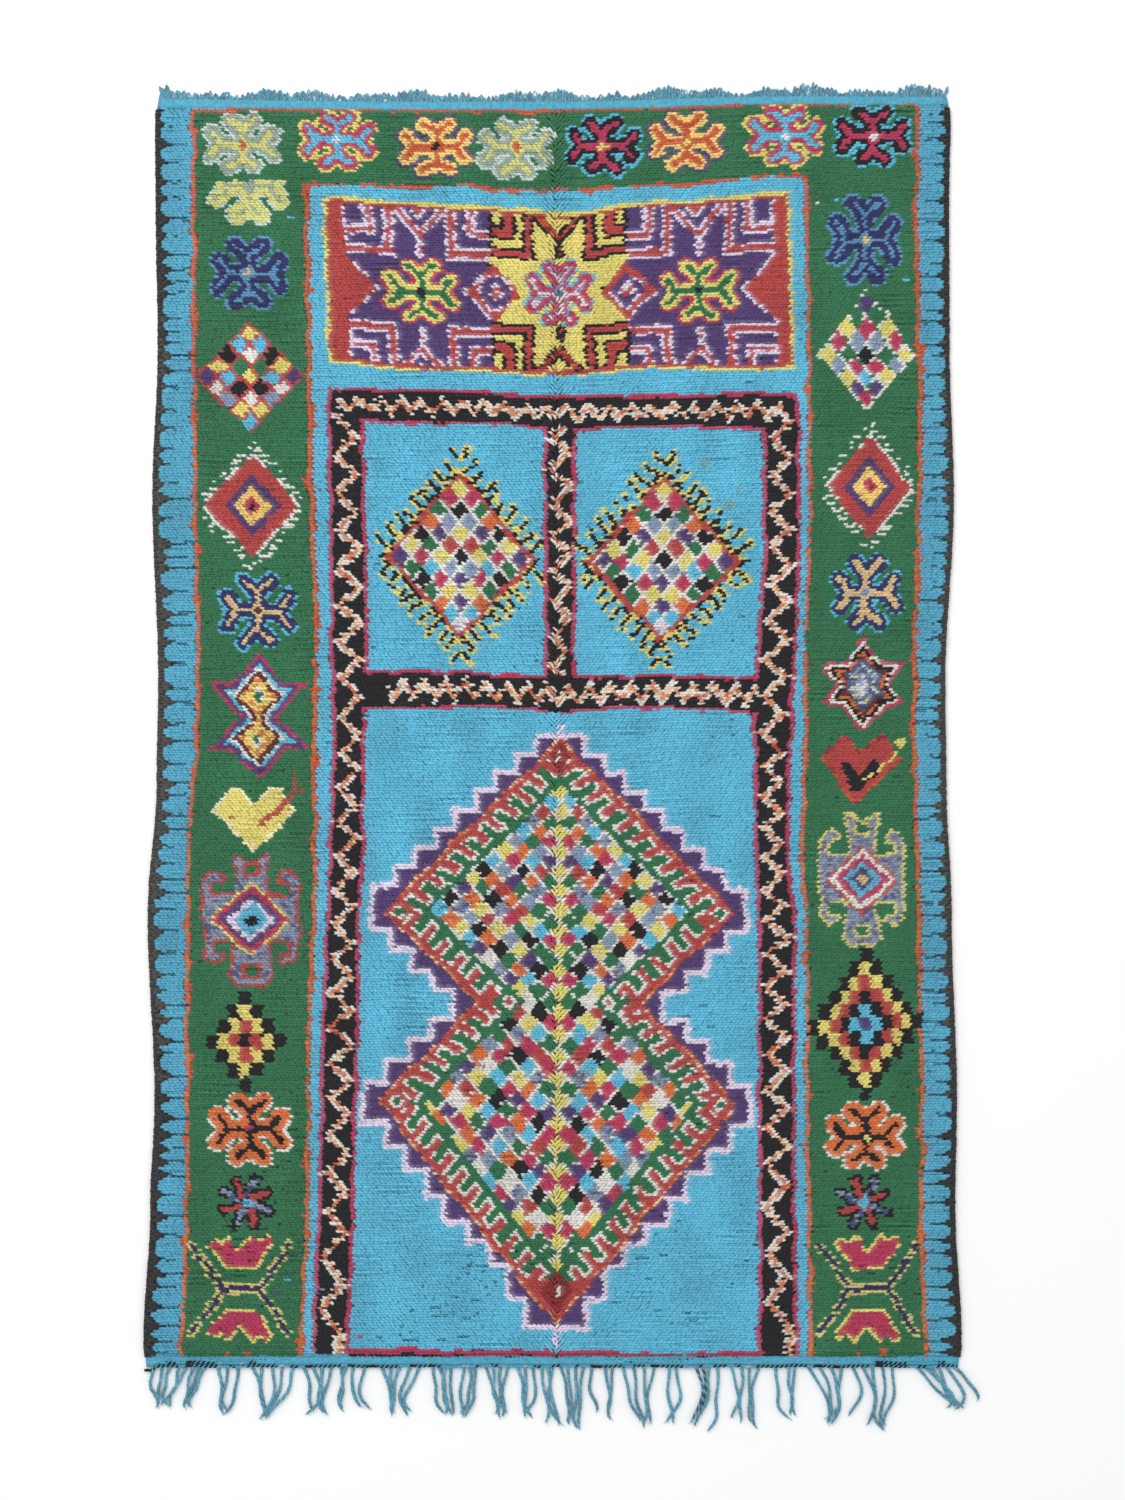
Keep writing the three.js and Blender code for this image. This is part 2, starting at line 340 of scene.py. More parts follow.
LONG_LINES = {
    "y": (1200, 1000, 690, 545, 320, 200, -20, -250, -360, -590, -930, -1160),
    "outer_left": (-676, -676, -676, -676, -671, -667, -672, -688, -688, -688, -690, -698),
    "inner_left": (-466, -464, -459, -457, -451, -447, -449, -449, -451, -461, -461, -477),
    "frame_left": (-442, -436, -421, -421, -415, -413, -410, -417, -423, -430, -440, -449),
    "field_left": (-378, -374, -360, -357, -354, -351, -355, -359, -366, -369, -377, -387),
    "middle": (9, 12, 15, 15, 15, 15, 15, 15, 15, 13, 10, 8),
    "field_right": (392, 392, 400, 401, 401, 392, 383, 385, 392, 392, 393, 394),
    "frame_right": (452, 449, 459, 466, 466, 460, 449, 445, 456, 456, 456, 462),
    "inner_right": (478, 478, 487, 485, 485, 478, 479, 472, 479, 483, 484, 491),
    "outer_right": (691, 687, 694, 694, 690, 685, 683, 688, 692, 696, 697, 706),
}
EVEN_OUTER = 683
EVEN_INNER = 468
EVEN_FRAME = 438
EVEN_FIELD = 374
EVEN_LONG_LINES = (
    -EVEN_OUTER, -EVEN_INNER, -EVEN_FRAME, -EVEN_FIELD, 0, EVEN_FIELD, EVEN_FRAME, EVEN_INNER, EVEN_OUTER,
)

# The same for the lines that run across
CROSS_LINES = {
    "x": (-470, -175, 12, 190, 450),
    "bottom": (-1175, -1179, -1180, -1184, -1183),
    "middle_low": (38, 42, 34, 40, 32),
    "middle_high": (107, 107, 97, 100, 91),
    "top_low": (582, 577, 568, 570, 569),
    "top_high": (643, 638, 626, 628, 632),
    "panel_low": (690, 672, 665, 678, 676),
    "panel_high": (1007, 992, 976, 996, 1015),
    "border_low": (1028, 1023, 1015, 1027, 1044),
    "border_high": (1168, 1167, 1166, 1172, 1180),
}
EVEN_CROSS = {
    "bottom": -1180,
    "middle_low": 36,
    "middle_high": 100,
    "top_low": 570,
    "top_high": 630,
    "panel_low": 677,
    "panel_high": 998,
    "border_low": 1027,
    "border_high": 1172,
}


def evened_across(x, y):
    lines = [down_table(y, LONG_LINES["y"], LONG_LINES[name]) for name in LONG_LINES if name != "y"]
    return evened(x, lines, EVEN_LONG_LINES)


def evened_along(x, y):
    lines = [eased_table(CROSS_LINES["x"], CROSS_LINES[name], x) for name in EVEN_CROSS]
    return evened(y, lines, tuple(EVEN_CROSS.values()))


# What soft noise moves: its wavelength, its seed and its number of waves
NOISES = {
    "line_width": (60, 11, 9),
    "line_edge": (17, 12, 9),
    "drift_across": (90, 21, 9),
    "fine_drift_across": (30, 22, 9),
    "drift_along": (80, 23, 9),
    "fine_drift_along": (26, 24, 9),
    "row": (260, 31, 9),
    "crack_patches": (240, 41, 9),
    "cracks": (46, 42, 14),
    "ridges": (120, 43, 12),
    "ridge_patches": (200, 44, 9),
    "tone": (120, 51, 9),
    "ragged_end": (40, 61, 9),
}


def soft_noise(x, y, kind):
    """A smooth uneven wobble of about -1 to 1."""
    scale, seed, waves = NOISES[kind]
    random = np.random.default_rng(seed)
    total = np.zeros(np.shape(x))
    for _ in range(waves):
        turn = random.uniform(0, math.pi)
        length = scale * random.uniform(0.6, 1.8)
        start = random.uniform(0, 2 * math.pi)
        total += np.sin(2 * math.pi * (x * math.cos(turn) + y * math.sin(turn)) / length + start)
    return total / math.sqrt(waves)


# Motifs; each gets the knots and its own centre, with sizes from that centre


# How far the three yarns of a rosette's petals reach from the middle of their branch
PETALS = (5.6, 13.6, 18.4)
FAT_PETALS = (4.7, 16.5, 20)
BLUE_PETALS = (3.6, 14.8, 19)
TAN_PETALS = (3.8, 13.6, 18.4)
# Where its branches fork, as shares of their reach, how far apart their ends then lie, and its middle
FORK = {"x": 0.69, "y": 0.62}
FORK_ENDS = {"share_y": 0.42, "more_y": 3, "share_x": 0.4, "more_x": 1.5}
ROSETTE_MIDDLE = {"half_x": 19, "half_y": 17, "heart": 9}


def rosette(knots, centre, half, yarns, heart, widths=PETALS, highest=math.inf):
    """Eight petals in four pairs: a forked branch to each side, banded with two more yarns."""
    half_x, half_y = half
    area = knots.near(centre, half_x, half_y)
    reach_x = half_x - widths[-1]
    reach_y = half_y - widths[-1]
    fork_x = FORK["x"] * reach_x
    fork_y = FORK["y"] * reach_y
    end_x = FORK_ENDS["share_x"] * reach_x + FORK_ENDS["more_x"]
    end_y = FORK_ENDS["share_y"] * reach_y + FORK_ENDS["more_y"]
    branches = [((-fork_x, 0), (fork_x, 0)), ((0, -fork_y), (0, fork_y))]
    for side in (-1, 1):
        for turn in (-1, 1):
            branches.append(((side * fork_x, 0), (side * reach_x, turn * end_y)))
            branches.append(((0, side * fork_y), (turn * end_x, side * reach_y)))
    distance = np.min([along_segment(area.x, area.y, start, end)[0] for start, end in branches], axis=0)
    allowed = area.y < highest
    area.bands(distance, tuple(zip(yarns, widths)), allowed)
    middle = diamond(area.x, area.y, ROSETTE_MIDDLE["half_x"], ROSETTE_MIDDLE["half_y"]) < 1
    area.lay(allowed & middle, yarns[0])
    if heart:
        core = diamond(area.x, area.y, ROSETTE_MIDDLE["heart"], ROSETTE_MIDDLE["heart"]) < 1
        area.lay(allowed & core, heart)


def checked_diamond(knots, centre, step, rows, gap_yarn, edge, core, kept=1.0):
    """Rows of small diamonds; each row of yarns runs from the middle out and is the same on both sides."""
    step_x, step_up, step_down = step
    middle = (len(rows) - 1) / 2
    longest = (len(rows) + 1) // 2
    area = knots.near(centre, step_x * (longest + 1), max(step_up, step_down) * (middle + 2))
    gap = np.zeros(area.x.size, bool)
    cells = []
    for number, row in enumerate(rows):
        count = longest - abs(number - len(rows) // 2)
        step_y = step_up if number < middle else step_down
        y = (middle - number) * step_y
        for place in range(count):
            across = 2 * place - (count - 1)
            size = diamond(area.x - across * step_x, area.y - y, step_x, step_y)
            gap |= size < edge
            cells.append((size < core, row[min(abs(across) // 2, len(row) - 1)]))
    area.lay(gap & (area.chance_of() < kept), gap_yarn)
    for cell, yarn in cells:
        area.lay(cell, yarn)


# The ticks around a diamond: their pitch along the rug, their offset on one side, how thick they are as a
# share of the pitch, where they start and end outside the diamond, how many of their knots are tied, and
# how far around the diamond these are looked for
TICK = {"pitch": 13, "offset": 0.2, "thick": 0.45, "start": 4, "end": 16, "kept": 0.85, "margin": 30}


def ringed_diamond(knots, centre, rings, has_ticks=False):
    """Diamonds inside each other, from the outside in, with short ticks around the outermost."""
    half_x, half_y = rings[0][1:]
    area = knots.near(centre, half_x + TICK["margin"], half_y + TICK["margin"])
    if has_ticks:
        slope = math.hypot(1 / half_x, 1 / half_y)
        outside = (diamond(area.x, area.y, half_x, half_y) - 1) / slope
        in_tick = np.mod(area.y / TICK["pitch"] + TICK["offset"] * np.sign(area.x), 1) < TICK["thick"]
        around = between(outside, TICK["start"], TICK["end"]) & (np.abs(area.x) < half_x)
        area.lay(around & in_tick & (area.chance_of() < TICK["kept"]), "white")
    for yarn, ring_x, ring_y in rings:
        area.lay_diamond(0, 0, ring_x, ring_y, yarn)


def banded_shape(knots, centre, outline, bands, inner):
    """A closed outline with bands that follow its edge inwards, and one yarn within."""
    half_x = max(abs(x) for x, y in outline) + 1
    half_y = max(abs(y) for x, y in outline) + 1
    area = knots.near(centre, half_x, half_y)
    inset = depth(area.x, area.y, outline)
    area.lay(inset >= 0, inner)
    area.bands(inset, bands)
    return area


STROKE_REACH = 130
# The barbs of a line's pale edge: their pitch along the rug, and how thick they are as a share of it
BARB = {"pitch": 8.2, "thick": 0.66}


def strokes(knots, centre, paths, yarn, half_thick, edge_yarn=None, edge=0.0):
    """Thick lines through the points of each path, with a barbed edge in another yarn."""
    area = knots.near(centre, STROKE_REACH, STROKE_REACH)
    distance = np.min([from_path(area.x, area.y, path) for path in paths], axis=0)
    if edge_yarn:
        in_barb = np.mod(area.y / BARB["pitch"], 1) < BARB["thick"]
        area.lay((distance < half_thick + edge) & in_barb, edge_yarn)
    area.lay(distance < half_thick, yarn)


def stepped_blocks(knots, centre, block, yarns, tilt=0.0):
    """A diamond of oblong blocks; the yarns run from the middle block out."""
    block_x, block_y = block
    rings = len(yarns)
    area = knots.near(centre, block_x * (rings + 1), block_y * (rings + 1))
    column = np.rint(area.x / block_x)
    row = np.rint((area.y - tilt * area.x) / block_y)
    ring = np.abs(column) + np.abs(row)
    for number, yarn in enumerate(yarns):
        area.lay(ring == number, yarn)


PINWHEEL = {"reach": 62, "blades": 8, "first": 22, "twist": 0.25, "middle": 13}
# The layers of its blades, a dark one under a bright one: where a blade starts and ends, half its
# thickness, and its yarns by turns
BLADES = (
    (13, 46, 10.5, ("black", "black")),
    (15, 44, 5.4, ("red", "violet_grey")),
)


def pinwheel(knots, centre):
    """Twisted blades around a small diamond."""
    area = knots.near(centre, PINWHEEL["reach"], PINWHEEL["reach"])
    for start, end, half_thick, yarns in BLADES:
        for number in range(PINWHEEL["blades"]):
            angle = math.radians(PINWHEEL["first"] + 360 / PINWHEEL["blades"] * number)
            twisted = angle + PINWHEEL["twist"]
            root = (start * math.cos(twisted), start * math.sin(twisted))
            tip = (end * math.cos(angle), end * math.sin(angle))
            distance, _ = along_segment(area.x, area.y, root, tip)
            area.lay(distance < half_thick, yarns[number % 2])
    area.lay_diamond(0, 0, PINWHEEL["middle"], PINWHEEL["middle"], "sky")


TULIP = [(-66, 12), (-52, 28), (-38, 19), (-25, 34), (-3, 3), (24, 37), (36, 24), (50, 37), (66, 21),
         (29, -31), (-28, -33)]


# How far the blossoms lie from the middle, half the size of the bar between them, with its edge and
# without, and where its arms start and end
TULIP_LIFT = 69
TULIP_EDGE = 4.6
BAR_EDGE = (40, 11.5)
BAR_CORE = (37, 4.6)
ARM = {"start": 35, "end_x": 90, "end_y": 82, "half_thick": 3.2, "edge": 6.2}


def tulips(knots, centre):
    """Two crowned blossoms, one turned over, with a bar and four arms between them."""
    for turn in (1, -1):
        outline = [(x, turn * y) for x, y in TULIP]
        place = (centre[0], centre[1] + turn * TULIP_LIFT)
        banded_shape(knots, place, outline, (("yellow", TULIP_EDGE),), "magenta")
    arms = [
        [(side * ARM["start"], 0), (side * ARM["end_x"], turn * ARM["end_y"])]
        for side in (-1, 1)
        for turn in (-1, 1)
    ]
    knots.lay_block(*centre, *BAR_EDGE, "straw")
    strokes(knots, centre, arms, "night", ARM["half_thick"], "straw", ARM["edge"])
    knots.lay_block(*centre, *BAR_CORE, "night")


# Half outlines from top to bottom, and one whole uneven outline
DOUBLE_STAR = [(0, 120), (47, 66), (94, 64), (33, 0), (102, -62), (51, -62), (0, -118)]
SIX_POINTS = [(0, 90), (35, 44), (82, 38), (53, 1), (79, -39), (38, -43), (0, -90)]
EVEN_HEART = [(0, 32), (28, 62), (50, 58), (80, 19), (40, -24), (0, -60)]
UNEVEN_HEART = [
    (-81, 19), (-61, 42), (-35, 65), (-22, 58), (-3, 31), (20, 50), (36, 65), (49, 54), (58, 33), (81, 18),
    (34, -24), (-7, -68), (-44, -34),
]
CRAB = [
    (0, 112), (9, 118), (15, 127), (31, 126), (29, 51), (61, 51), (61, 66), (46, 71), (43, 83), (54, 96),
    (70, 90), (81, 72), (82, 0), (79, -72), (60, -90), (40, -77), (44, -65), (60, -64), (62, -45),
    (31, -43), (32, -66), (38, -112), (20, -132), (0, -124),
]

# Bands of a star from its edge in: the yarn and where its band ends
DOUBLE_STAR_BANDS = (("magenta", 4.8), ("purple", 12), ("sky", 16), ("white", 20.5), ("wine", 27))
SIX_POINTS_BANDS = (("magenta", 5), ("white", 10), ("black", 15.5), ("copper", 19), ("wine", 23),
                    ("ink", 27))
# The small diamonds in the upper and lower half of the double star: half their size and their yarn
STAR_EYES = {"y": (41, -45), "rings": ((11, 18, "white"), (7, 11, "green"))}
CRAB_EDGE = 5.8
# The oblongs in the forked column of the crab: half their size, and the share that the green one takes up
CRAB_EYES = {"y": (96, -97), "half_x": 15, "half_y": 14, "green": 0.58}


def double_star(knots, centre):
    area = banded_shape(knots, centre, mirrored(DOUBLE_STAR), DOUBLE_STAR_BANDS, "flame")
    for y in STAR_EYES["y"]:
        for half_x, half_y, yarn in STAR_EYES["rings"]:
            area.lay_diamond(0, y, half_x, half_y, yarn)


def six_pointed_star(knots, centre):
    area = banded_shape(knots, centre, mirrored(SIX_POINTS), SIX_POINTS_BANDS, "melange")
    area.lay_diamond(0, -6, 12, 24, "silver")


def crab(knots, centre, scale, edge_yarn, diamond_rings):
    """A square body with hooked arms and a forked column at top and bottom."""
    scale_x, scale_y = scale
    outline = mirrored([(x * scale_x, y * scale_y) for x, y in CRAB])
    area = banded_shape(knots, centre, outline, ((edge_yarn, CRAB_EDGE),), "blue_grey")
    for y in CRAB_EYES["y"]:
        for size, yarn in ((1, edge_yarn), (CRAB_EYES["green"], "green")):
            half_x = size * CRAB_EYES["half_x"] * scale_x
            area.lay_block(0, y * scale_y, half_x, size * CRAB_EYES["half_y"], yarn)
    ringed_diamond(knots, centre, diamond_rings)


# The cord of a zigzag: half its thickness, how far its barbs reach, and how many of their knots are tied
CORD = {"half_thick": 3.2, "barbs": 8.0, "kept": 0.66}


def zigzag(knots, along, across, pitch, amplitude, where):
    """A zigzag cord of orange and white with white barbs on both sides."""
    slope = 4 * amplitude / pitch
    distance = np.abs(across - amplitude * triangle_wave(along, pitch)) / math.hypot(1, slope)
    knots.lay(where & (distance < CORD["barbs"]) & (knots.chance_of() < CORD["kept"]), "white")
    knots.lay(where & (distance < CORD["half_thick"]), "braid")


# The rug's parts, from the outside in

# The dark sides, left and right: how wide they are along the rug, and how deep and how far apart their
# points reach between the lobes of the sky bands
SIDES = {
    -1: {"width": (8, 9, 10, 11), "depth": (21, 23, 26, 26), "pitch": 33, "half_notch": 14},
    1: {"width": (6.5, 6, 6.5, 8.5), "depth": (14, 17, 19, 26), "pitch": 30, "half_notch": 11.5},
}
SIDES_Y = (1150, 300, -400, -1150)
LOBES = {"count": 110, "lowest": -1250, "pitches": (0.6, 1.4), "depths": (0.5, 1.3), "seed": 40}
# A point between two lobes: how its sides bend, and the open pile beyond it
NOTCH = {"sharpness": 1.25, "open_half": 2.8, "open_reach": 1.6, "open": 1.3}
LOBE_EDGE = {"reach": 8.0, "half": 6.5}
DARK_ENDS = (-1184, 1168)
# The dark yarn turns to soot this far from this place along the rug, and later for some knots
SOOT = {"middle": 60, "from": 560, "mixing": 240}


def lay_side_bands(knots, from_edge):
    """Green sides, and sky bands whose outer edge is lobed against the dark sides."""
    outer = np.abs(knots.x) > EVEN_OUTER
    knots.lay(EVERY_KNOT, "green")
    knots.lay(outer, "sky_deep")
    for side, strip in SIDES.items():
        beside = outer & (np.sign(knots.x) == side)
        random = np.random.default_rng(LOBES["seed"] + side)
        pitches = strip["pitch"] * random.uniform(*LOBES["pitches"], LOBES["count"])
        lobes = np.cumsum(pitches) + LOBES["lowest"]
        depths = random.uniform(*LOBES["depths"], LOBES["count"])
        after = np.clip(np.searchsorted(lobes, knots.y), 1, LOBES["count"] - 1)
        pitch = lobes[after] - lobes[after - 1]
        share = (knots.y - lobes[after - 1]) / pitch
        size = np.where(share < 0.5, depths[after - 1], depths[after])
        deep = size * down_table(knots.y, SIDES_Y, strip["depth"])
        from_notch = np.minimum(share, 1 - share) * pitch
        dark = down_table(knots.y, SIDES_Y, strip["width"])
        half_notch = strip["half_notch"] * np.sqrt(size)
        dark += deep * np.clip(1 - from_notch / half_notch, 0, 1) ** NOTCH["sharpness"]
        beyond = from_edge - dark
        knots.lay(beside & (beyond < 0), "charcoal")
        in_soot = np.abs(knots.y - SOOT["middle"]) > SOOT["from"] + SOOT["mixing"] * knots.chance_of()
        knots.lay(beside & (beyond < 0) & in_soot, "soot")
        # The knots next to the lobes' edge end on it, and the pile stays open beyond the points
        moved = beside & (np.abs(beyond) < LOBE_EDGE["reach"]) & (knots.y > DARK_ENDS[0])
        target = np.sign(beyond) * LOBE_EDGE["half"]
        knots.chart.shift[knots.index[moved]] = (side * (beyond - target))[moved]
        opened = beside & between(beyond, 0, NOTCH["open_reach"] * deep) & (from_notch < NOTCH["open_half"])
        knots.chart.gap[knots.index[opened]] = NOTCH["open"]


# Half the thickness of the orange lines, and how much it varies; a line across ends a little past an
# upright one, and the share of copper knots rises along the rug
UPRIGHT_LINE = {"half": 3.4, "varies": 3}
LOWER_LINE = {"half": 3.0, "varies": 1.2}
UPPER_LINE_HALF = 3.6
LINE_OVERLAP = 4
COPPER = {"y": (-1100, 900), "share": (0.75, 0.1)}


def lay_lines(knots, actual):
    """The orange lines between the bands, thick and thin by turns."""
    wide = soft_noise(actual.x, actual.y, "line_width") + 0.5 * soft_noise(actual.x, actual.y, "line_edge")
    away = np.abs(knots.x)
    below = knots.y < EVEN_CROSS["border_low"]
    knots.lay(below & (away < EVEN_INNER), "sky")
    paler = knots.chance_of() < np.interp(knots.y, COPPER["y"], COPPER["share"])
    for line, there in ((EVEN_OUTER, True), (EVEN_INNER, below)):
        thick = UPRIGHT_LINE["half"] + UPRIGHT_LINE["varies"] * wide
        knots.lay(there & (np.abs(away - line) < thick), "rust")
        knots.draw_upright(line, there, "rust")
        knots.draw_upright(line, there & paler, "copper")
    thick = LOWER_LINE["half"] + LOWER_LINE["varies"] * wide
    from_line = np.abs(knots.y - EVEN_CROSS["border_low"])
    knots.lay((away < EVEN_INNER + LINE_OVERLAP) & (from_line < thick), "rust")
    knots.lay(knots.y > EVEN_CROSS["border_high"], "sky_deep")
    from_line = np.abs(knots.y - EVEN_CROSS["border_high"])
    knots.lay((away < EVEN_OUTER + LINE_OVERLAP) & (from_line < UPPER_LINE_HALF), "rust")


# Where the rosettes of the upper border lie, their yarns from the branch out, and their heart
TOP_ROSETTES = (
    ((-585, 1104), ("lemon", "ash", "frost"), "rust"),
    ((-404, 1111), ("sky", "magenta", "yellow"), "white"),
    ((-219, 1098), ("rust", "peach", "purple"), "black"),
    ((-68, 1096), ("lemon", "ash", "frost"), "rust"),
    ((96, 1100), ("magenta", "black", "sky"), "yellow"),
    ((253, 1110), ("rust", "peach", "purple"), "yellow"),
    ((440, 1119), ("sky", "magenta", "yellow"), "white"),
    ((606, 1119), ("magenta", "black", "sky"), "white"),
)
TOP_ROSETTE_REACH = (75, 61)


def lay_top_border(knots):
    for centre, yarns, heart in TOP_ROSETTES:
        rosette(knots, centre, TOP_ROSETTE_REACH, yarns, heart)


# Rows of checks from top to bottom, each from the middle out
LEFT_CHECKS = (
    ("yellow",),
    ("sky",),
    ("white", "black"),
    ("green", "yellow"),
    ("yellow", "sky", "purple"),
    ("black", "white"),
    ("white", "slate"),
    ("yellow",),
    ("sky",),
)
RIGHT_CHECKS = (
    ("purple",),
    ("green",),
    ("magenta", "yellow"),
    ("slate", "magenta"),
    ("black", "green", "yellow"),
    ("magenta", "slate"),
    ("sky", "yellow"),
    ("purple",),
    ("magenta",),
)


# Rings of diamonds from the outside in: the yarn and half the size across and along
LEFT_RINGS = (("white", 95, 101), ("red", 89, 95), ("purple", 54, 59), ("peach", 36, 40),
              ("magenta", 18, 18), ("black", 6, 6))
RIGHT_RINGS = (("white", 84, 104), ("red", 79, 98), ("purple", 49, 58), ("peach", 32, 39),
               ("magenta", 14, 17), ("dark_red", 6, 6))
LEFT_CRAB_RINGS = (("yellow", 80, 71), ("magenta", 74, 65), ("purple", 61, 53), ("lilac", 47, 41),
                   ("sky", 36, 31), ("black", 14, 12))
RIGHT_CRAB_RINGS = (("red", 70, 69), ("white", 63, 62), ("magenta", 52, 51), ("sky", 39, 38),
                    ("purple", 27, 26), ("tan", 13, 12))
# Blocks of the stepped diamonds, from the middle out
LEFT_BLOCKS = ("black", "red", "yellow", "black")
RIGHT_BLOCKS = ("purple", "sky", "black", "red", "yellow", "black")
CUT_PETALS = (2.6, 16.4, 19.4)
THICK_PETALS = (6.2, 14.4, 18)


def lay_left_border(knots):
    """The motifs of the left border, from the cut end down."""
    cut = ("ash", "lemon", "frost")
    rosette(knots, (-572, 1024), (78, 74), cut, None, CUT_PETALS, highest=11)
    rosette(knots, (-572, 859), (77, 72), ("azure", "navy", "azure"), "tan", BLUE_PETALS)
    checked_diamond(knots, (-570, 664), (20.4, 20.6, 20.6), LEFT_CHECKS, "red", edge=1.14, core=0.82)
    ringed_diamond(knots, (-566, 421), LEFT_RINGS, has_ticks=True)
    rosette(knots, (-555, 223), (77, 75), ("tan", "navy", "sky"), "wine", TAN_PETALS)
    double_star(knots, (-555, 22))
    heart = (-562, -172)
    banded_shape(knots, heart, mirrored(EVEN_HEART), (("cream", 4.6),), "yellow")
    strokes(knots, heart, [[(13, -9), (30, 8), (51, 24), (67, 41)]], "red", 5.4)
    strokes(knots, heart, [[(67, 41), (75, 57), (75, 90)], [(67, 50), (92, 55)]], "red", 3.2)
    crab(knots, (-568, -360), (1.15, 0.98), "red", LEFT_CRAB_RINGS)
    stepped_blocks(knots, (-579, -589), (21.7, 27.4), LEFT_BLOCKS)
    rosette(knots, (-570, -755), (79, 72), ("black", "orange", "white"), "magenta", FAT_PETALS)
    pinwheel(knots, (-578, -893))
    tulips(knots, (-588, -1057))
    for x in (-615, -578):
        knots.lay_block(x, -1181, 4.5, 8, "rust")


def lay_right_border(knots):
    """The motifs of the right border, from the cut end down."""
    rosette(knots, (591, 923), (72, 88), ("azure", "navy", "azure"), "peach", BLUE_PETALS)
    step = (18.4, 24.6, 20.9)
    checked_diamond(knots, (594, 706), step, RIGHT_CHECKS, "white", edge=1.1, core=0.88, kept=0.85)
    ringed_diamond(knots, (599, 458), RIGHT_RINGS, has_ticks=True)
    rosette(knots, (594, 257), (69, 75), ("tan", "navy", "sky"), "azure", THICK_PETALS)
    six_pointed_star(knots, (587, 85))
    heart = (585, -74)
    banded_shape(knots, heart, UNEVEN_HEART, (("ember", 5),), "red")
    strokes(knots, heart, [[(-30, 0), (-9, -31), (23, 3)]], "black", 11)
    strokes(knots, heart, [[(5, -23), (35, 4), (60, 25), (69, 42)]], "yellow", 2.6)
    knots.lay_diamond(heart[0] + 71, heart[1] + 48, 15, 11, "yellow")
    crab(knots, (585, -284), (1.0, 1.0), "straw", RIGHT_CRAB_RINGS)
    stepped_blocks(knots, (592, -557), (19.8, 26.4), RIGHT_BLOCKS, tilt=0.06)
    rosette(knots, (591, -768), (76, 67), ("black", "orange", "white"), "yellow", FAT_PETALS)
    pinwheel(knots, (589, -894))
    tulips(knots, (597, -1057))
    for x, half_x in ((577, 3.5), (625, 6)):
        knots.lay_block(x, -1179, half_x, 8, "rust")


# The panel of three stars

STAR_CENTRES = ((-256, 829), (0, 838), (258, 826))
STAR_REACHES = (139, 128, 146)
# How far around its centre a star's knots are looked for, and how far they reach from the panel's middle
STAR_AREA = (165, 175)
STAR_HALF_HEIGHT = 149
# The red notches in a star's sides, the blocks in its corners and the chevrons above and below
SIDE_NOTCH = {"tip": 76, "half": 62, "depth": 60, "edge": 6}
CORNER_BLOCK = {"x": 47, "y": 63, "closed": 15, "edge": 6}
CHEVRON = {"y": 94, "slope": 1.15}
CHEVRON_TICKS = {"y": (74, 87), "half": 8, "edge": 1.4, "core": 0.6}
# The yarns of a star; bands name a yarn and where its band ends
OUTER_STAR = {
    "ground": "purple",
    "edge": "lilac",
    "block": (("lilac", 4.5), ("red", 15), ("lilac", 20), ("purple", 37), ("lilac", 42), ("red", 49),
              ("lilac", 57), ("purple", 90)),
    "chevron": (("lilac", 4), ("red", 11), ("lilac", 15), ("purple", 26), ("lilac", 31), ("red", 60)),
    "rosette": ((74, 64), ("green", "yellow", "magenta"), "black", (4.8, 12.6, 17.2)),
}
MIDDLE_STAR = {
    "ground": "yellow",
    "edge": "black",
    "block": (("black", 5), ("red", 16), ("black", 21), ("yellow", 34), ("black", 39), ("red", 55),
              ("black", 60), ("yellow", 90)),
    "chevron": (("black", 4), ("ember", 14), ("black", 18), ("yellow", 60)),
    "rosette": ((64, 67), ("silver", "magenta", "sky"), "ink", (4, 13, 16)),
}
STARS = (OUTER_STAR, MIDDLE_STAR, OUTER_STAR)


def woven_star(knots, centre, reach, star):
    """An eight-pointed star: a ground with blocks cut from its corners and notches from its sides."""
    area = knots.near(centre, *STAR_AREA)
    panel_middle = (EVEN_CROSS["panel_low"] + EVEN_CROSS["panel_high"]) / 2
    in_panel = np.abs(area.y + centre[1] - panel_middle) < STAR_HALF_HEIGHT
    body = in_panel & (np.abs(area.x) < reach)
    area.lay(body, star["ground"])
    for side in (-1, 1):
        out_x = side * area.x - SIDE_NOTCH["tip"]
        cut = out_x - np.abs(area.y) * (SIDE_NOTCH["half"] / SIDE_NOTCH["depth"])
        notch = body & (cut > 0) & (np.abs(area.y) < SIDE_NOTCH["half"])
        area.lay(notch, "red")
        area.lay(notch & (cut < SIDE_NOTCH["edge"]), star["edge"])
    for side in (-1, 1):
        for turn in (-1, 1):
            out_x = side * area.x - CORNER_BLOCK["x"]
            out_y = turn * area.y - CORNER_BLOCK["y"]
            block = body & (out_x >= 0) & (out_y >= 0)
            inset = np.minimum(out_x, out_y)
            area.bands(inset, star["block"], block)
            at_end = out_x > reach - CORNER_BLOCK["x"] - CORNER_BLOCK["edge"]
            area.lay(block & (inset > CORNER_BLOCK["closed"]) & at_end, star["edge"])
    for turn in (-1, 1):
        rise = turn * area.y - CHEVRON["y"]
        inset = (rise - np.abs(area.x) * CHEVRON["slope"]) / math.hypot(1, CHEVRON["slope"])
        area.bands(inset, star["chevron"], body & (rise > 0))
        for y in CHEVRON_TICKS["y"]:
            tick = diamond(area.x, turn * area.y - y, CHEVRON_TICKS["half"], CHEVRON_TICKS["half"])
            area.lay(tick < CHEVRON_TICKS["edge"], star["edge"])
            area.lay(tick < CHEVRON_TICKS["core"], "red")
    rosette(knots, centre, *star["rosette"])


# The yellow edge of the panel, at its sides, below and above
PANEL_EDGE = {"side": 6.5, "low": 5, "high": 8}
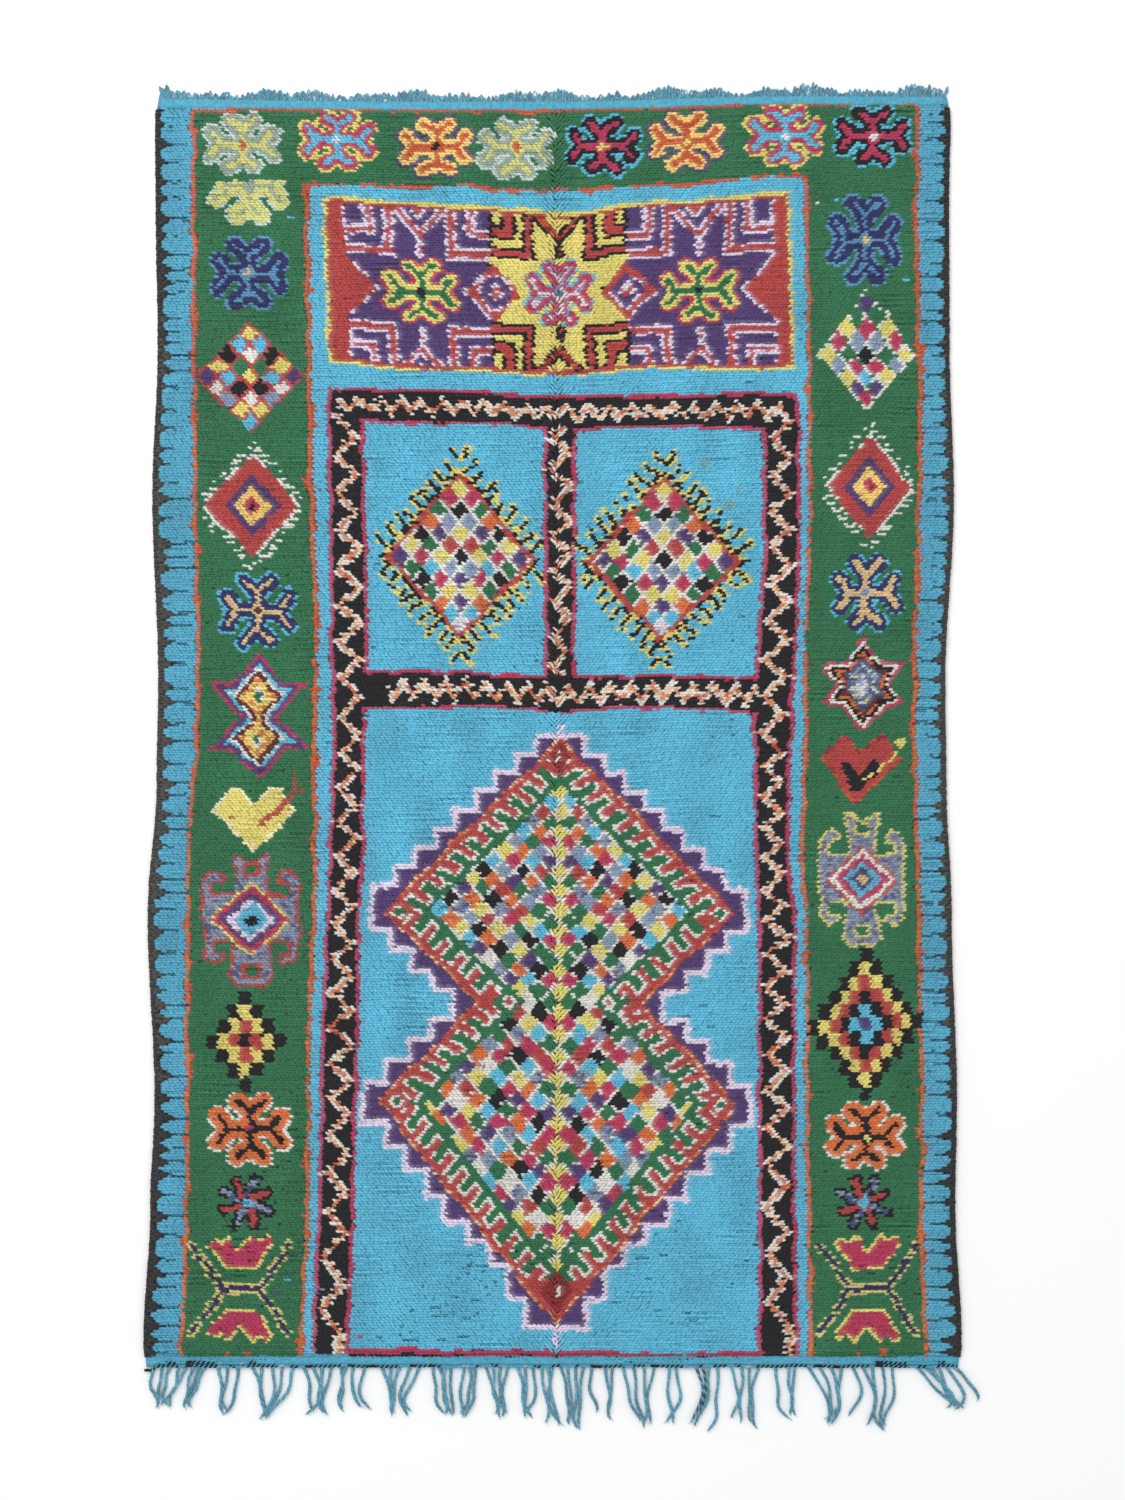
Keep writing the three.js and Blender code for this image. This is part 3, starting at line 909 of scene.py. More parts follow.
# The medallions between the stars, a round one and a pointed one: half their size, and how flat or how
# pointed their rings are
MEDALLIONS = {"x": (-120, 126), "y": 831, "area": (60, 64), "half_x": 50, "half_y": 56, "flat": 0.95,
              "point": 46}
# The ends of their rings from the outside in, and how many knots of the uneven lilac rings are tied
MEDALLION_RINGS = (33, 28, 15.5, 10.5, 4)
MEDALLION_KEPT = 0.8


def medallion(knots, centre, is_round):
    """A red diamond with rings in its middle."""
    area = knots.near(centre, *MEDALLIONS["area"])
    size = diamond(area.x, area.y, MEDALLIONS["half_x"], MEDALLIONS["half_y"])
    area.lay(size < 1, "red")
    ring = np.hypot(area.x, area.y * MEDALLIONS["flat"]) if is_round else size * MEDALLIONS["point"]
    outer, purple, lilac, red, heart = MEDALLION_RINGS
    area.lay(between(ring, purple, outer) & (area.chance_of() < MEDALLION_KEPT), "lilac")
    area.lay(ring < purple, "purple")
    area.lay((ring < lilac) & (area.chance_of() < MEDALLION_KEPT), "lilac")
    area.lay(ring < red, "red")
    area.lay(ring < heart, "lilac")


def lay_star_panel(knots):
    low = EVEN_CROSS["panel_low"]
    high = EVEN_CROSS["panel_high"]
    away = np.abs(knots.x)
    knots.lay((away < EVEN_FRAME) & between(knots.y, low, high), "yellow")
    inner = between(knots.y, low + PANEL_EDGE["low"], high - PANEL_EDGE["high"])
    knots.lay((away < EVEN_FRAME - PANEL_EDGE["side"]) & inner, "red")
    for number in (0, 2, 1):
        woven_star(knots, STAR_CENTRES[number], STAR_REACHES[number], STARS[number])
    for x in MEDALLIONS["x"]:
        medallion(knots, (x, MEDALLIONS["y"]), is_round=x < 0)


# The zigzag frame

# Where a few of the zigzag's turns to the right lie along the rug, and which turns they are
SIDE_TURNS = {
    -1: ((614, 543, 258, -81, -404, -732, -953, -1145), (-1, 0, 4, 9, 14, 19, 22, 24)),
    1: ((585, 515, 247, -38, -328, -640, -855, -1121), (-1, 0, 4, 8, 13, 18, 21, 24)),
}


# The magenta lines of the frame, and half the width of its upright band between the two squares
FRAME_LINE = 3.0
CENTRE_HALF = 26
# Each zigzag: the pitch of its turns, how far it swings, and where it runs
SIDE_ZIGZAG = {"pitch": 67, "swing": 18, "x": 406, "highest": 585}
TOP_ZIGZAG = {"pitch": 39, "swing": 10, "turn": -378, "reach": 420}
MIDDLE_ZIGZAG = {"pitch": 39.6, "swing": 14, "turn": -300, "left": -330}
CENTRE_ZIGZAG = {"pitch": 62, "swing": 14, "turn": 520}


def lay_frame(knots):
    """Black bands with magenta edges and an orange and white zigzag in each."""
    x, y, away = knots.x, knots.y, np.abs(knots.x)
    bottom, top = EVEN_CROSS["bottom"], EVEN_CROSS["top_high"]
    top_low, middle_high = EVEN_CROSS["top_low"], EVEN_CROSS["middle_high"]
    middle_low = EVEN_CROSS["middle_low"]
    line = FRAME_LINE
    knots.lay((away < EVEN_FRAME + line) & between(y, bottom - line, top + line), "magenta")
    in_top = y > top_low + line
    in_middle = between(y, middle_low + line, middle_high - line)
    in_centre = (y > middle_low) & (away < CENTRE_HALF - line)
    inner = (away < EVEN_FRAME - line) & between(y, bottom - line, top - line)
    frame = inner & ((away > EVEN_FIELD + line) | in_top | in_middle | in_centre)
    knots.lay(frame, "black")
    squares = between(away, CENTRE_HALF + line, EVEN_FIELD - line)
    squares &= between(y, middle_high + line, top_low - line)
    field = (away < EVEN_FIELD - line) & between(y, bottom + line, middle_low - line)
    knots.lay(squares | field, "sky")
    beside_squares = between(y, middle_high, top_low)
    knots.draw_upright(EVEN_FRAME, between(y, bottom, top), "magenta")
    knots.draw_upright(EVEN_FIELD, beside_squares | between(y, bottom, middle_low), "magenta")
    knots.draw_upright(CENTRE_HALF, beside_squares, "magenta")
    for side, (places, counts) in SIDE_TURNS.items():
        there = frame & (side * x > EVEN_FIELD) & (y < SIDE_ZIGZAG["highest"])
        along = down_table(y, places, counts) * SIDE_ZIGZAG["pitch"]
        zigzag(knots, along, x - side * SIDE_ZIGZAG["x"], SIDE_ZIGZAG["pitch"], SIDE_ZIGZAG["swing"], there)
    for cord, along, across, there in (
        (TOP_ZIGZAG, x, y - (top + top_low) / 2, between(y, top_low, top) & (away < TOP_ZIGZAG["reach"])),
        (MIDDLE_ZIGZAG, x, y - (middle_high + middle_low) / 2,
         between(y, middle_low, middle_high) & between(x, MIDDLE_ZIGZAG["left"], EVEN_FIELD)),
        (CENTRE_ZIGZAG, y, x, (away < CENTRE_HALF) & between(y, middle_high, top_low)),
    ):
        zigzag(knots, along - cord["turn"], across, cord["pitch"], cord["swing"], frame & there)


# The two small squares above, each with a diamond of checks and hooks around it

SQUARE_ROWS = (
    ("yellow",),
    ("magenta",),
    ("black", "green"),
    ("slate", "orange"),
    ("yellow", "purple", "black"),
    ("red", "green", "yellow"),
    ("black", "yellow", "magenta", "purple"),
    ("slate", "sky", "green"),
    ("purple", "magenta", "black"),
    ("yellow", "green"),
    ("purple", "orange"),
    ("sky",),
    ("silver",),
)
SQUARE_CHECKS = (18.6, 21.7, 21.7)
# The two hooked diamonds: their centre and the seed of their hooks
HOOKED_DIAMONDS = (((-191, 319), 3), ((190, 319), 4))
HOOKED = {"half_x": 143, "half_y": 157, "area": (220, 240)}
# The hooks along a side: how many, where the first stands, how long and how steep they are, how far their
# roots stand off, how far their tips bend, and how thick they are with their pale edge and without
HOOK = {"count": 9, "first": 0.35, "long": (19, 31), "steep": (0.45, 0.95), "off": 4, "bend": 8,
        "half_thick": 2.7, "edge": 7.2, "kept": 0.72}
# The larger hooks at the upper and lower corner
CORNER_HOOKS = (
    ((-14, 203), (-9, 190), (2, 184), (12, 190), (15, 204)),
    ((-17, -200), (1, -183), (18, -200)),
)
# The mixed band around a diamond and its red edge: how far each reaches, and how many knots are tied
HOOK_BAND = {"reach": 9, "yellow": 0.66, "black": 0.46}
RED_EDGE = {"end": 8, "mixed": (6, 11), "kept": 0.5}


def hooked_diamond(knots, centre, seed):
    """A red-edged diamond of checks, with black and yellow hooks that stand off its sides."""
    half_x, half_y = HOOKED["half_x"], HOOKED["half_y"]
    area = knots.near(centre, *HOOKED["area"])
    random = np.random.default_rng(seed)
    hooks = [list(hook) for hook in CORNER_HOOKS]
    for side in (-1, 1):
        for number in range(HOOK["count"]):
            share = (number + HOOK["first"]) / HOOK["count"]
            for turn in (1, -1):
                long = random.uniform(*HOOK["long"])
                steep = random.uniform(*HOOK["steep"])
                root_x = side * half_x * share
                root_y = turn * half_y * (1 - share) + turn * HOOK["off"]
                tip_x = root_x + side * long * math.cos(steep)
                tip_y = root_y + turn * long * math.sin(steep)
                bend_x = side * HOOK["bend"] * random.uniform(-1, 1)
                bend_y = turn * HOOK["bend"]
                hooks.append([(root_x, root_y), (tip_x, tip_y), (tip_x + bend_x, tip_y + bend_y)])
    distance = np.min([from_path(area.x, area.y, hook) for hook in hooks], axis=0)
    area.lay((distance < HOOK["edge"]) & (area.chance_of() < HOOK["kept"]), "yellow")
    area.lay(distance < HOOK["half_thick"], "black")
    slope = math.hypot(1 / half_x, 1 / half_y)
    inset = (1 - diamond(area.x, area.y, half_x, half_y)) / slope
    for yarn in ("yellow", "black"):
        area.lay(between(inset, -HOOK_BAND["reach"], 0) & (area.chance_of() < HOOK_BAND[yarn]), yarn)
    area.bands(inset, (("red", RED_EDGE["end"]), ("white", math.inf)))
    area.lay(between(inset, *RED_EDGE["mixed"]) & (area.chance_of() < RED_EDGE["kept"]), "red")
    checked_diamond(knots, centre, SQUARE_CHECKS, SQUARE_ROWS, "white", edge=0.0, core=0.84)


# The long field: a stepped lozenge with a banded one inside it, filled with small diamonds

# Its upper steps: how many, where the first and the last start, and how high each is
UPPER_STEPS = {"count": 9, "first": (-47, -13), "last": (-349, -301), "height": 36}
STEP_WAIST = (
    (-314, -382), (-314, -420), (-275, -420), (-275, -460), (-237, -460), (-237, -496), (-195, -496),
    (-195, -552), (-238, -552), (-238, -589), (-276, -589), (-276, -630), (-319, -630), (-319, -670),
    (-356, -670),
)
LOWER_STEP_X = (-358, -318, -277, -240, -204, -163, -121, -90, -55, 0)
LOWER_STEP_Y = (-746, -792, -836, -886, -932, -971, -1014, -1076, -1130)
LOZENGE = [(0, -15), (-330, -347), (-155, -517), (-332, -706), (0, -1125)]
# The lozenge's border from its edge in: an orange edge, a red line with fingers, a green line with fingers
BORDER = {"edge": 4.5, "red_line": 13, "red_tips": 45, "green_tips": 17.5, "green_line": 51, "end": 62}
FINGER_PITCH = 38.6
FINGERS = {"red": 0.36, "green": 0.6}
FINGER_LEANS = (0.24, 0.12, 0.24, 0.2)
# Where the red of the lower tip starts, and how far inside the lozenge's edge
LOZENGE_TIP = {"y": -1040, "inset": 6}
# The tips of the lozenge: their red diamonds, and the white knots in them
TIP_DIAMONDS = ((-50, 20, 34), (-1062, 27, 44))
TIP_KNOTS = {"half_x": 3.2, "half_y": 9}
# The pale outline of the stepped lozenge, and its short upright ends: their y and half their length
PALE_OUTLINE = 5.2
PALE_ENDS = {"half_x": 5, "y": ((-4, 12), (-1148, 20))}
# Diamonds on the border's corners, on both sides: their place, and yarns with half their size
CORNER_DIAMONDS = (
    ((299, -347), (("red", 30), ("white", 17), ("green", 10))),
    ((299, -706), (("red", 30), ("white", 17), ("green", 10))),
    ((93, -517), (("green", 30), ("white", 16), ("red", 9))),
)
# The cells in the lozenge: half their width along the rug, and how many rows lie above a place
CELL_WIDTHS = {"y": (-119, -347, -706, -968), "width": (16.4, 18.5, 18.7, 17.1)}
CELL_ROWS = {"y": (-119, -492, -743, -968), "count": (0, 20, 32, 42), "pitch_above": 18.7,
             "pitch_below": 22}
CELL_RANGE = {"rows": (-8, 60), "columns": 24}
CELL_SIZE = 0.9
CELL_SEED = 7
# The columns beside the middle one, from the top down, and the yarns that the other cells choose from
FLANKS = ("sky", "green", "magenta", "purple", *("green", "magenta") * 5, "green", "purple",
          *("magenta", "green") * 3)
CELL_YARNS = (
    "yellow", "black", "green", "sky", "slate", "magenta", "purple", "yellow", "black", "green", "sky",
    "purple", "orange", "yellow", "red", "white", "blue_grey", "green", "orange", "magenta",
)


def stepped_outline():
    """The left half of the stepped lozenge, from its upper to its lower tip."""
    first, last = UPPER_STEPS["first"], UPPER_STEPS["last"]
    points = [(0, first[1])]
    for number in range(UPPER_STEPS["count"]):
        share = number / (UPPER_STEPS["count"] - 1)
        x = first[0] + share * (last[0] - first[0])
        y = first[1] + share * (last[1] - first[1])
        points += [(x, y), (x, y - UPPER_STEPS["height"])]
    points[-1] = (last[0], STEP_WAIST[0][1])
    points += STEP_WAIST
    for x, y, next_x in zip(LOWER_STEP_X, LOWER_STEP_Y, LOWER_STEP_X[1:]):
        points += [(x, y), (next_x, y)]
    return points


def lay_long_field(knots):
    area = knots.near((0, 0), EVEN_FIELD - 5, -EVEN_CROSS["bottom"])
    inset = depth(area.x, area.y, mirrored(stepped_outline()))
    area.lay(inset > 0, "purple")
    area.lay(np.abs(inset) < PALE_OUTLINE, "lilac")
    for y, half_y in PALE_ENDS["y"]:
        area.lay_block(0, y, PALE_ENDS["half_x"], half_y, "lilac")
    inset = depth(area.x, area.y, mirrored(LOZENGE))
    sides = list(zip(LOZENGE, LOZENGE[1:]))
    found = [along_segment(-np.abs(area.x), area.y, *ends) for ends in sides]
    nearest = np.argmin([distance for distance, _ in found], axis=0)
    along = np.choose(nearest, [share * math.dist(*ends) for (_, share), ends in zip(found, sides)])
    lean = np.choose(nearest, FINGER_LEANS)
    phase = np.abs(np.mod((along + lean * inset) / FINGER_PITCH, 1) - 0.5) * 2
    area.lay(inset >= 0, "white")
    lay_cells(area, inset > BORDER["end"])
    area.bands(inset, (("apricot", BORDER["edge"]), ("red", BORDER["red_line"])))
    red_fingers = between(inset, BORDER["red_line"], BORDER["red_tips"]) & (phase < FINGERS["red"])
    green_fingers = between(inset, BORDER["green_tips"], BORDER["green_line"]) & (phase > FINGERS["green"])
    area.lay(red_fingers, "red")
    area.lay(green_fingers, "green")
    area.lay(between(inset, BORDER["green_line"], BORDER["end"]), "green")
    for (x, y), rings in CORNER_DIAMONDS:
        for yarn, half in rings:
            for side in (-1, 1):
                area.lay_diamond(side * x, y, half, half, yarn)
    upper_tip, lower_tip = TIP_DIAMONDS
    area.lay_diamond(0, *upper_tip, "dark_red")
    area.lay((inset > LOZENGE_TIP["inset"]) & (area.y < LOZENGE_TIP["y"]), "red")
    area.lay_diamond(0, *lower_tip, "dark_red")
    for y, _, _ in TIP_DIAMONDS:
        area.lay_block(0, y, TIP_KNOTS["half_x"], TIP_KNOTS["half_y"], "white")


def lay_cells(area, where):
    """Small diamonds in many yarns, the same left and right, with no two alike beside each other."""
    across = area.x / down_table(area.y, CELL_WIDTHS["y"], CELL_WIDTHS["width"])
    down = down_table(area.y, CELL_ROWS["y"], CELL_ROWS["count"])
    above = CELL_ROWS["y"][0] - area.y
    below = CELL_ROWS["y"][-1] - area.y
    down = np.where(above < 0, above / CELL_ROWS["pitch_above"], down)
    down = np.where(below > 0, CELL_ROWS["count"][-1] + below / CELL_ROWS["pitch_below"], down)
    turned = np.rint((across + down) / 2)
    other = np.rint((across - down) / 2)
    size = 2 * np.maximum(np.abs((across + down) / 2 - turned), np.abs((across - down) / 2 - other))
    column = np.abs(turned + other).astype(int)
    row = (turned - other).astype(int)
    area.lay(where, "white")
    random = np.random.default_rng(CELL_SEED)
    chosen = {}
    for j in range(*CELL_RANGE["rows"]):
        for i in range(j % 2, CELL_RANGE["columns"], 2):
            flank = (j - 1) // 2
            if i == 0:
                yarn = "yellow"
            elif i == 1:
                yarn = FLANKS[flank] if 0 <= flank < len(FLANKS) else "green"
            else:
                cells = ((i - 1, j - 1), (i + 1, j - 1), (i, j - 2), (i - 2, j))
                beside = [chosen.get(cell) for cell in cells]
                yarn = CELL_YARNS[random.integers(len(CELL_YARNS))]
                while yarn in beside:
                    yarn = CELL_YARNS[random.integers(len(CELL_YARNS))]
            chosen[i, j] = yarn
            area.lay(where & (column == i) & (row == j) & (size < CELL_SIZE), yarn)


# The lower end, measured from its magenta line: where that line starts and ends, the ragged edge of the
# black line under it, and where the sky strip starts beside it and outside it
LOWER_END = {"line": (-3, 7), "ragged": -11, "varies": 1.6, "overlap": 2, "outside": 13}


def lay_ends(knots, actual):
    """The magenta and black lines and the sky strip at the fringed end."""
    low = EVEN_CROSS["bottom"]
    line_start, line_end = LOWER_END["line"]
    away = np.abs(knots.x)
    inner = away < EVEN_FIELD + 6
    uneven = LOWER_END["varies"] * soft_noise(knots.x, knots.y, "ragged_end")
    ragged = low + LOWER_END["ragged"] + uneven
    outside = actual.y < BOTTOM_EDGE + LOWER_END["outside"]
    knots.lay(np.where(inner, knots.y < ragged + LOWER_END["overlap"], outside), "sky")
    knots.lay(inner & between(knots.y, low + line_start, low + line_end), "magenta")
    knots.lay((away < EVEN_FIELD) & (knots.y <= low + line_start) & (knots.y > ragged), "black")


# Single knots in a wrong yarn: where, how far they reach across and along, and the yarn
STRAY_KNOTS = (
    (-500, -1038, 6.5, 2.6, "sky"),
    (-517, -1064, 6.0, 2.6, "ink"),
    (-434, -1055, 4.0, 2.6, "slate"),
    (-362, -1145, 6.5, 2.6, "magenta"),
    (-157, -1013, 7.0, 2.6, "purple"),
    (-610, -168, 5.0, 2.6, "red"),
    (506, 993, 6.0, 2.6, "white"),
    (540, 998, 6.0, 2.6, "sky"),
    (666, 847, 6.0, 2.6, "sky"),
    (-491, 964, 5.0, 2.6, "sky"),
)


def lay_stray_knots(knots):
    for stray in STRAY_KNOTS:
        knots.lay_block(*stray)


# How far the pattern drifts from its even place
DRIFT_ACROSS = ((2.2, "drift_across"), (1.1, "fine_drift_across"))
DRIFT_ALONG = ((1.8, "drift_along"), (0.8, "fine_drift_along"))


def charted(x, y, seed):
    """The yarn of each knot of the rug, and how far the knot lies beside its even place."""
    chart = Chart(x.size, seed)
    everywhere = np.arange(x.size)
    drift_x = sum(size * soft_noise(x, y, kind) for size, kind in DRIFT_ACROSS)
    drift_y = sum(size * soft_noise(x, y, kind) for size, kind in DRIFT_ALONG)
    actual = Knots(chart, x + drift_x, y + drift_y, everywhere)
    even = Knots(chart, evened_across(x, y) + drift_x, evened_along(x, y) + drift_y, everywhere)
    lay_side_bands(even, half_width(y, x < 0) - np.abs(x))
    lay_lines(even, actual)
    lay_top_border(actual)
    lay_left_border(actual)
    lay_right_border(actual)
    lay_star_panel(even)
    lay_frame(even)
    for centre, hook_seed in HOOKED_DIAMONDS:
        hooked_diamond(even, centre, hook_seed)
    lay_long_field(even)
    lay_ends(even, actual)
    lay_stray_knots(actual)
    return chart


# Node trees


class Socket:
    """An output of a shader node, which Python's operators join to Math nodes."""

    def __init__(self, nodes, output):
        self.nodes = nodes
        self.output = output

    def _join(self, operation, first, second):
        return self.nodes.add("ShaderNodeMath", {"operation": operation}, (first, second))

    def __add__(self, other):
        return self._join("ADD", self, other)

    def __radd__(self, other):
        return self._join("ADD", other, self)

    def __sub__(self, other):
        return self._join("SUBTRACT", self, other)

    def __rsub__(self, other):
        return self._join("SUBTRACT", other, self)

    def __mul__(self, other):
        return self._join("MULTIPLY", self, other)

    def __rmul__(self, other):
        return self._join("MULTIPLY", other, self)


class Nodes:
    """Adds nodes to a tree, shader or geometry."""

    def __init__(self, tree):
        self.tree = tree
        self.tree.nodes.clear()

    def add(self, kind, settings=None, inputs=(), output=0):
        """A node by its type, its settings and its sockets' values or links; gives one of its outputs."""
        node = self.tree.nodes.new(kind)
        for name, value in (settings or {}).items():
            setattr(node, name, value)
        pairs = inputs.items() if isinstance(inputs, dict) else enumerate(inputs)
        for name, value in pairs:
            if isinstance(value, Socket):
                self.tree.links.new(value.output, node.inputs[name])
            else:
                node.inputs[name].default_value = value
        if not node.outputs:
            return node
        return Socket(self, node.outputs[output])

    def named_attribute(self, name, kind):
        return self.add("GeometryNodeInputNamedAttribute", {"data_type": kind}, {"Name": name})


def linear(srgb):
    """An sRGB colour out of 255 as linear numbers."""
    share = np.asarray(srgb, float) / 255
    return np.where(share <= 0.04045, share / 12.92, ((share + 0.055) / 1.055) ** 2.4)


def linear_colour(srgb):
    return (*linear(srgb).tolist(), 1.0)


# Materials

# The wool: how fine its two layers of fuzz are, how the fine one is drawn out across the rug, how much each
# changes the tone, and its surface
WOOL = {"fine": 900.0, "coarse": 160.0, "drawn": (0.35, 1.0, 1.0)}
WOOL_TONE = {"base": 0.72, "fine": 0.32, "coarse": 0.24}
WOOL_BUMP = {"Strength": 0.5, "Distance": 0.001}
WOOL_SURFACE = {
    "Roughness": 0.95,
    "Sheen Weight": 0.1,
    "Sheen Roughness": 0.6,
    "Specular IOR Level": 0.15,
}
# The flat weave of the ground cloth: its pitch, and its tone, which is painted darker in the weave's dips
# as shade
WEAVE_PITCH = 5.0
WEAVE_TONE = {"base": 0.86, "shaded_dips": 0.16, "coarse": 0.5}


def wool(name, is_woven=False):
    """Woollen yarn in the piece's own colours, with a fine uneven tone and a fuzzy bump; a woven one also
    has painted shade in the dips of its weave.
    """
    material = bpy.data.materials.new(name)
    material.use_nodes = True
    nodes = Nodes(material.node_tree)
    place = nodes.add("ShaderNodeTexCoord", output=3)
    drawn = nodes.add("ShaderNodeVectorMath", {"operation": "MULTIPLY"}, (place, WOOL["drawn"]))
    fuzz = "ShaderNodeTexNoise"
    fine = nodes.add(fuzz, inputs={"Vector": drawn, "Scale": WOOL["fine"], "Detail": 2.0})
    coarse = nodes.add(fuzz, inputs={"Vector": place, "Scale": WOOL["coarse"], "Detail": 1.0})
    base = nodes.add("ShaderNodeAttribute", {"attribute_name": "yarn_colour"})
    tone = WOOL_TONE["base"] + WOOL_TONE["fine"] * fine + WOOL_TONE["coarse"] * coarse
    height = fine
    if is_woven:
        node = nodes.add("ShaderNodeSeparateXYZ", inputs=(place,)).output.node
        waves = [
            nodes.add(
                "ShaderNodeMath",
                {"operation": "SINE"},
                (Socket(nodes, node.outputs[axis]) * (2 * math.pi / (WEAVE_PITCH * MM)),),
            )
            for axis in range(2)
        ]
        shaded_dips = 1 - waves[0] * waves[1]
        height = 0.5 * fine + (1 - 0.5 * shaded_dips)
        # The weave's dips are painted darker, as shade in them
        tone = tone * (WEAVE_TONE["base"] - WEAVE_TONE["shaded_dips"] * shaded_dips + WEAVE_TONE["coarse"] * coarse)
    shade = nodes.add("ShaderNodeVectorMath", {"operation": "SCALE"}, {0: base, "Scale": tone})
    bump = nodes.add("ShaderNodeBump", inputs={**WOOL_BUMP, "Height": height})
    surface = nodes.add(
        "ShaderNodeBsdfPrincipled", inputs={**WOOL_SURFACE, "Base Color": shade, "Normal": bump})
    nodes.add("ShaderNodeOutputMaterial", inputs={"Surface": surface})
    return material


def plain_surface(name, srgb, roughness):
    material = bpy.data.materials.new(name)
    material.use_nodes = True
    nodes = Nodes(material.node_tree)
    surface = nodes.add(
        "ShaderNodeBsdfPrincipled",
        inputs={"Base Color": linear_colour(srgb), "Roughness": roughness, "Specular IOR Level": 0.2},
    )
    nodes.add("ShaderNodeOutputMaterial", inputs={"Surface": surface})
    return material


# Meshes


def mesh_object(name, vertices, faces=(), edges=(), attributes=()):
    """A mesh in the scene, from arrays in millimetres; attributes are names, types and values of points."""
    mesh = bpy.data.meshes.new(name)
    mesh.from_pydata(np.asarray(vertices) * MM, list(edges), list(faces))
    for label, kind, values in attributes:
        layer = mesh.attributes.new(label, kind, "POINT")
        field = {"FLOAT": "value", "FLOAT_VECTOR": "vector", "FLOAT_COLOR": "color"}[kind]
        layer.data.foreach_set(field, np.ascontiguousarray(values, dtype=np.float32).ravel())
    mesh.update()
    item = bpy.data.objects.new(name, mesh)
    bpy.context.scene.collection.objects.link(item)
    return item


def grid_faces(columns, rows, first=0, flip=False):
    """Faces of a grid of points, which is stored row by row."""
    column, row = np.meshgrid(np.arange(columns - 1), np.arange(rows - 1))
    corner = first + (row * columns + column).ravel()
    quads = np.stack([corner, corner + 1, corner + 1 + columns, corner + columns], axis=1)
    return quads[:, ::-1] if flip else quads


def yarn_shades():
    """Every yarn's colour as linear numbers, in the order of their names."""
    return np.array([linear(YARNS[name]) for name in YARN_NAMES])


def rgba(colours):
    return np.concatenate([colours, np.ones((len(colours), 1))], axis=1)


def geometry_tree(name, inputs):
    """A Geometry Nodes tree with inputs, each a name, a type and a value; gives its sockets by name."""
    tree = bpy.data.node_groups.new(name, "GeometryNodeTree")
    tree.interface.new_socket("Geometry", in_out="INPUT", socket_type="NodeSocketGeometry")
    for label, kind, _ in inputs:
        tree.interface.new_socket(label, in_out="INPUT", socket_type=kind)
    tree.interface.new_socket("Geometry", in_out="OUTPUT", socket_type="NodeSocketGeometry")
    nodes = Nodes(tree)
    start = tree.nodes.new("NodeGroupInput")
    sockets = {socket.name: Socket(nodes, socket) for socket in start.outputs if socket.name}
    return nodes, sockets


def finished_by(nodes, item, inputs, geometry, material):
    """Ends the tree, runs it on the object and keeps the result as the object's plain mesh."""
    real = nodes.add("GeometryNodeRealizeInstances", inputs=(geometry,))
    smooth = nodes.add("GeometryNodeSetShadeSmooth", inputs=(real,))
    named = nodes.add("GeometryNodeSetMaterial", inputs={"Geometry": smooth, "Material": material})
    end = nodes.tree.nodes.new("NodeGroupOutput")
    nodes.tree.links.new(named.output, end.inputs[0])
    modifier = item.modifiers.new("shape", "NODES")
    modifier.node_group = nodes.tree
    values = {label: value for label, _, value in inputs}
    for socket in nodes.tree.interface.items_tree:
        if socket.in_out == "INPUT" and socket.name in values:
            modifier[socket.identifier] = values[socket.name]
    evaluated = item.evaluated_get(bpy.context.evaluated_depsgraph_get())
    mesh = bpy.data.meshes.new_from_object(evaluated)
    mesh.name = item.name
    old = item.data
    item.modifiers.clear()
    item.data = mesh
    bpy.data.meshes.remove(old)
    return item


# The pile: one knot is a small pointed lump, and there is one for each place of the weave

KNOT_COLUMNS = 188
KNOT_ROWS = 480
LOWEST_KNOTS = 7
KNOT_LENGTH = 17.0
KNOT_THICKNESS = 8.4
KNOT_DEPTH = 1.9
KNOT_TWIST = 36
LOWEST_TIP = 5.4
PILE_MARGIN = 9
PILE_STRIPS = 6
SEED = 20
# How far a knot lies from its even place: every second row is shifted by half a column, the rows and the
# knots lie unevenly across, and the rows wave and jitter along the rug
STAGGER = 0.5
ROW_SHIFT = 0.14
KNOT_SHIFT = 0.16
ROW_WAVE = 1.1
ROW_JITTER = 0.35
SIDE_MARGIN = 0.001
# Where the pile opens: how patchy it is, how it grows towards the fringed end, how uneven the streaks along
# the rows are, and from which streak on and how quickly they open
PATCHES = {"middle": 0.55, "varies": 0.8, "most": 1.6}
OPENING = {"y": (-1100, -200), "share": (1.2, 0.6)}
STREAK = {"row_step": 37.7, "uneven": 0.3, "from": 2.25, "patches": 0.9, "gain": 2.2}
CRACK = {"depth": 2.8, "thinner": 0.42}
# How the rows rise and sink along their length
RIDGE = {"row_step": 83.0, "middle": 0.8, "varies": 0.5, "least": 0.3, "most": 1.5, "height": 0.7}
# The tone of a knot, with painted light on rows that rise and painted shade on rows that sink, and how much
# it takes up of the yarns beside and above it
TONE = {"middle": 1.02, "patches": 0.06, "single": 0.04, "ridges": 0.05, "least": 0.72, "most": 1.3}
YARN_MIXING = 0.08
DARK_YARN = 0.1
# The pile beside the fold: how far it flares, and how it leans, thins and lengthens there
FLARE = {"reach": 14, "drop": 1.6, "lean": (0.5, 1.35), "longer": 0.1, "thinner": 0.2}
# Single knots: how uneven their tips are, how they lean, turn and roll, and how long and thick they are
TIP_UNEVEN = 0.22
LEAN = {"middle": 0.17, "uneven": 0.12}
ROLL = {"x": 0.1, "y": 0.05}
LONG = {"least": 0.88, "more": 0.24}
THICK = {"least": 0.92, "more": 0.16}
# Faint olive stains: where, and how far they reach
STAINS = ((289, 502, 8), (336, 423, 9), (352, 452, 5))
STAIN_COLOUR = (150, 146, 84)
STAIN_STRENGTH = 0.55


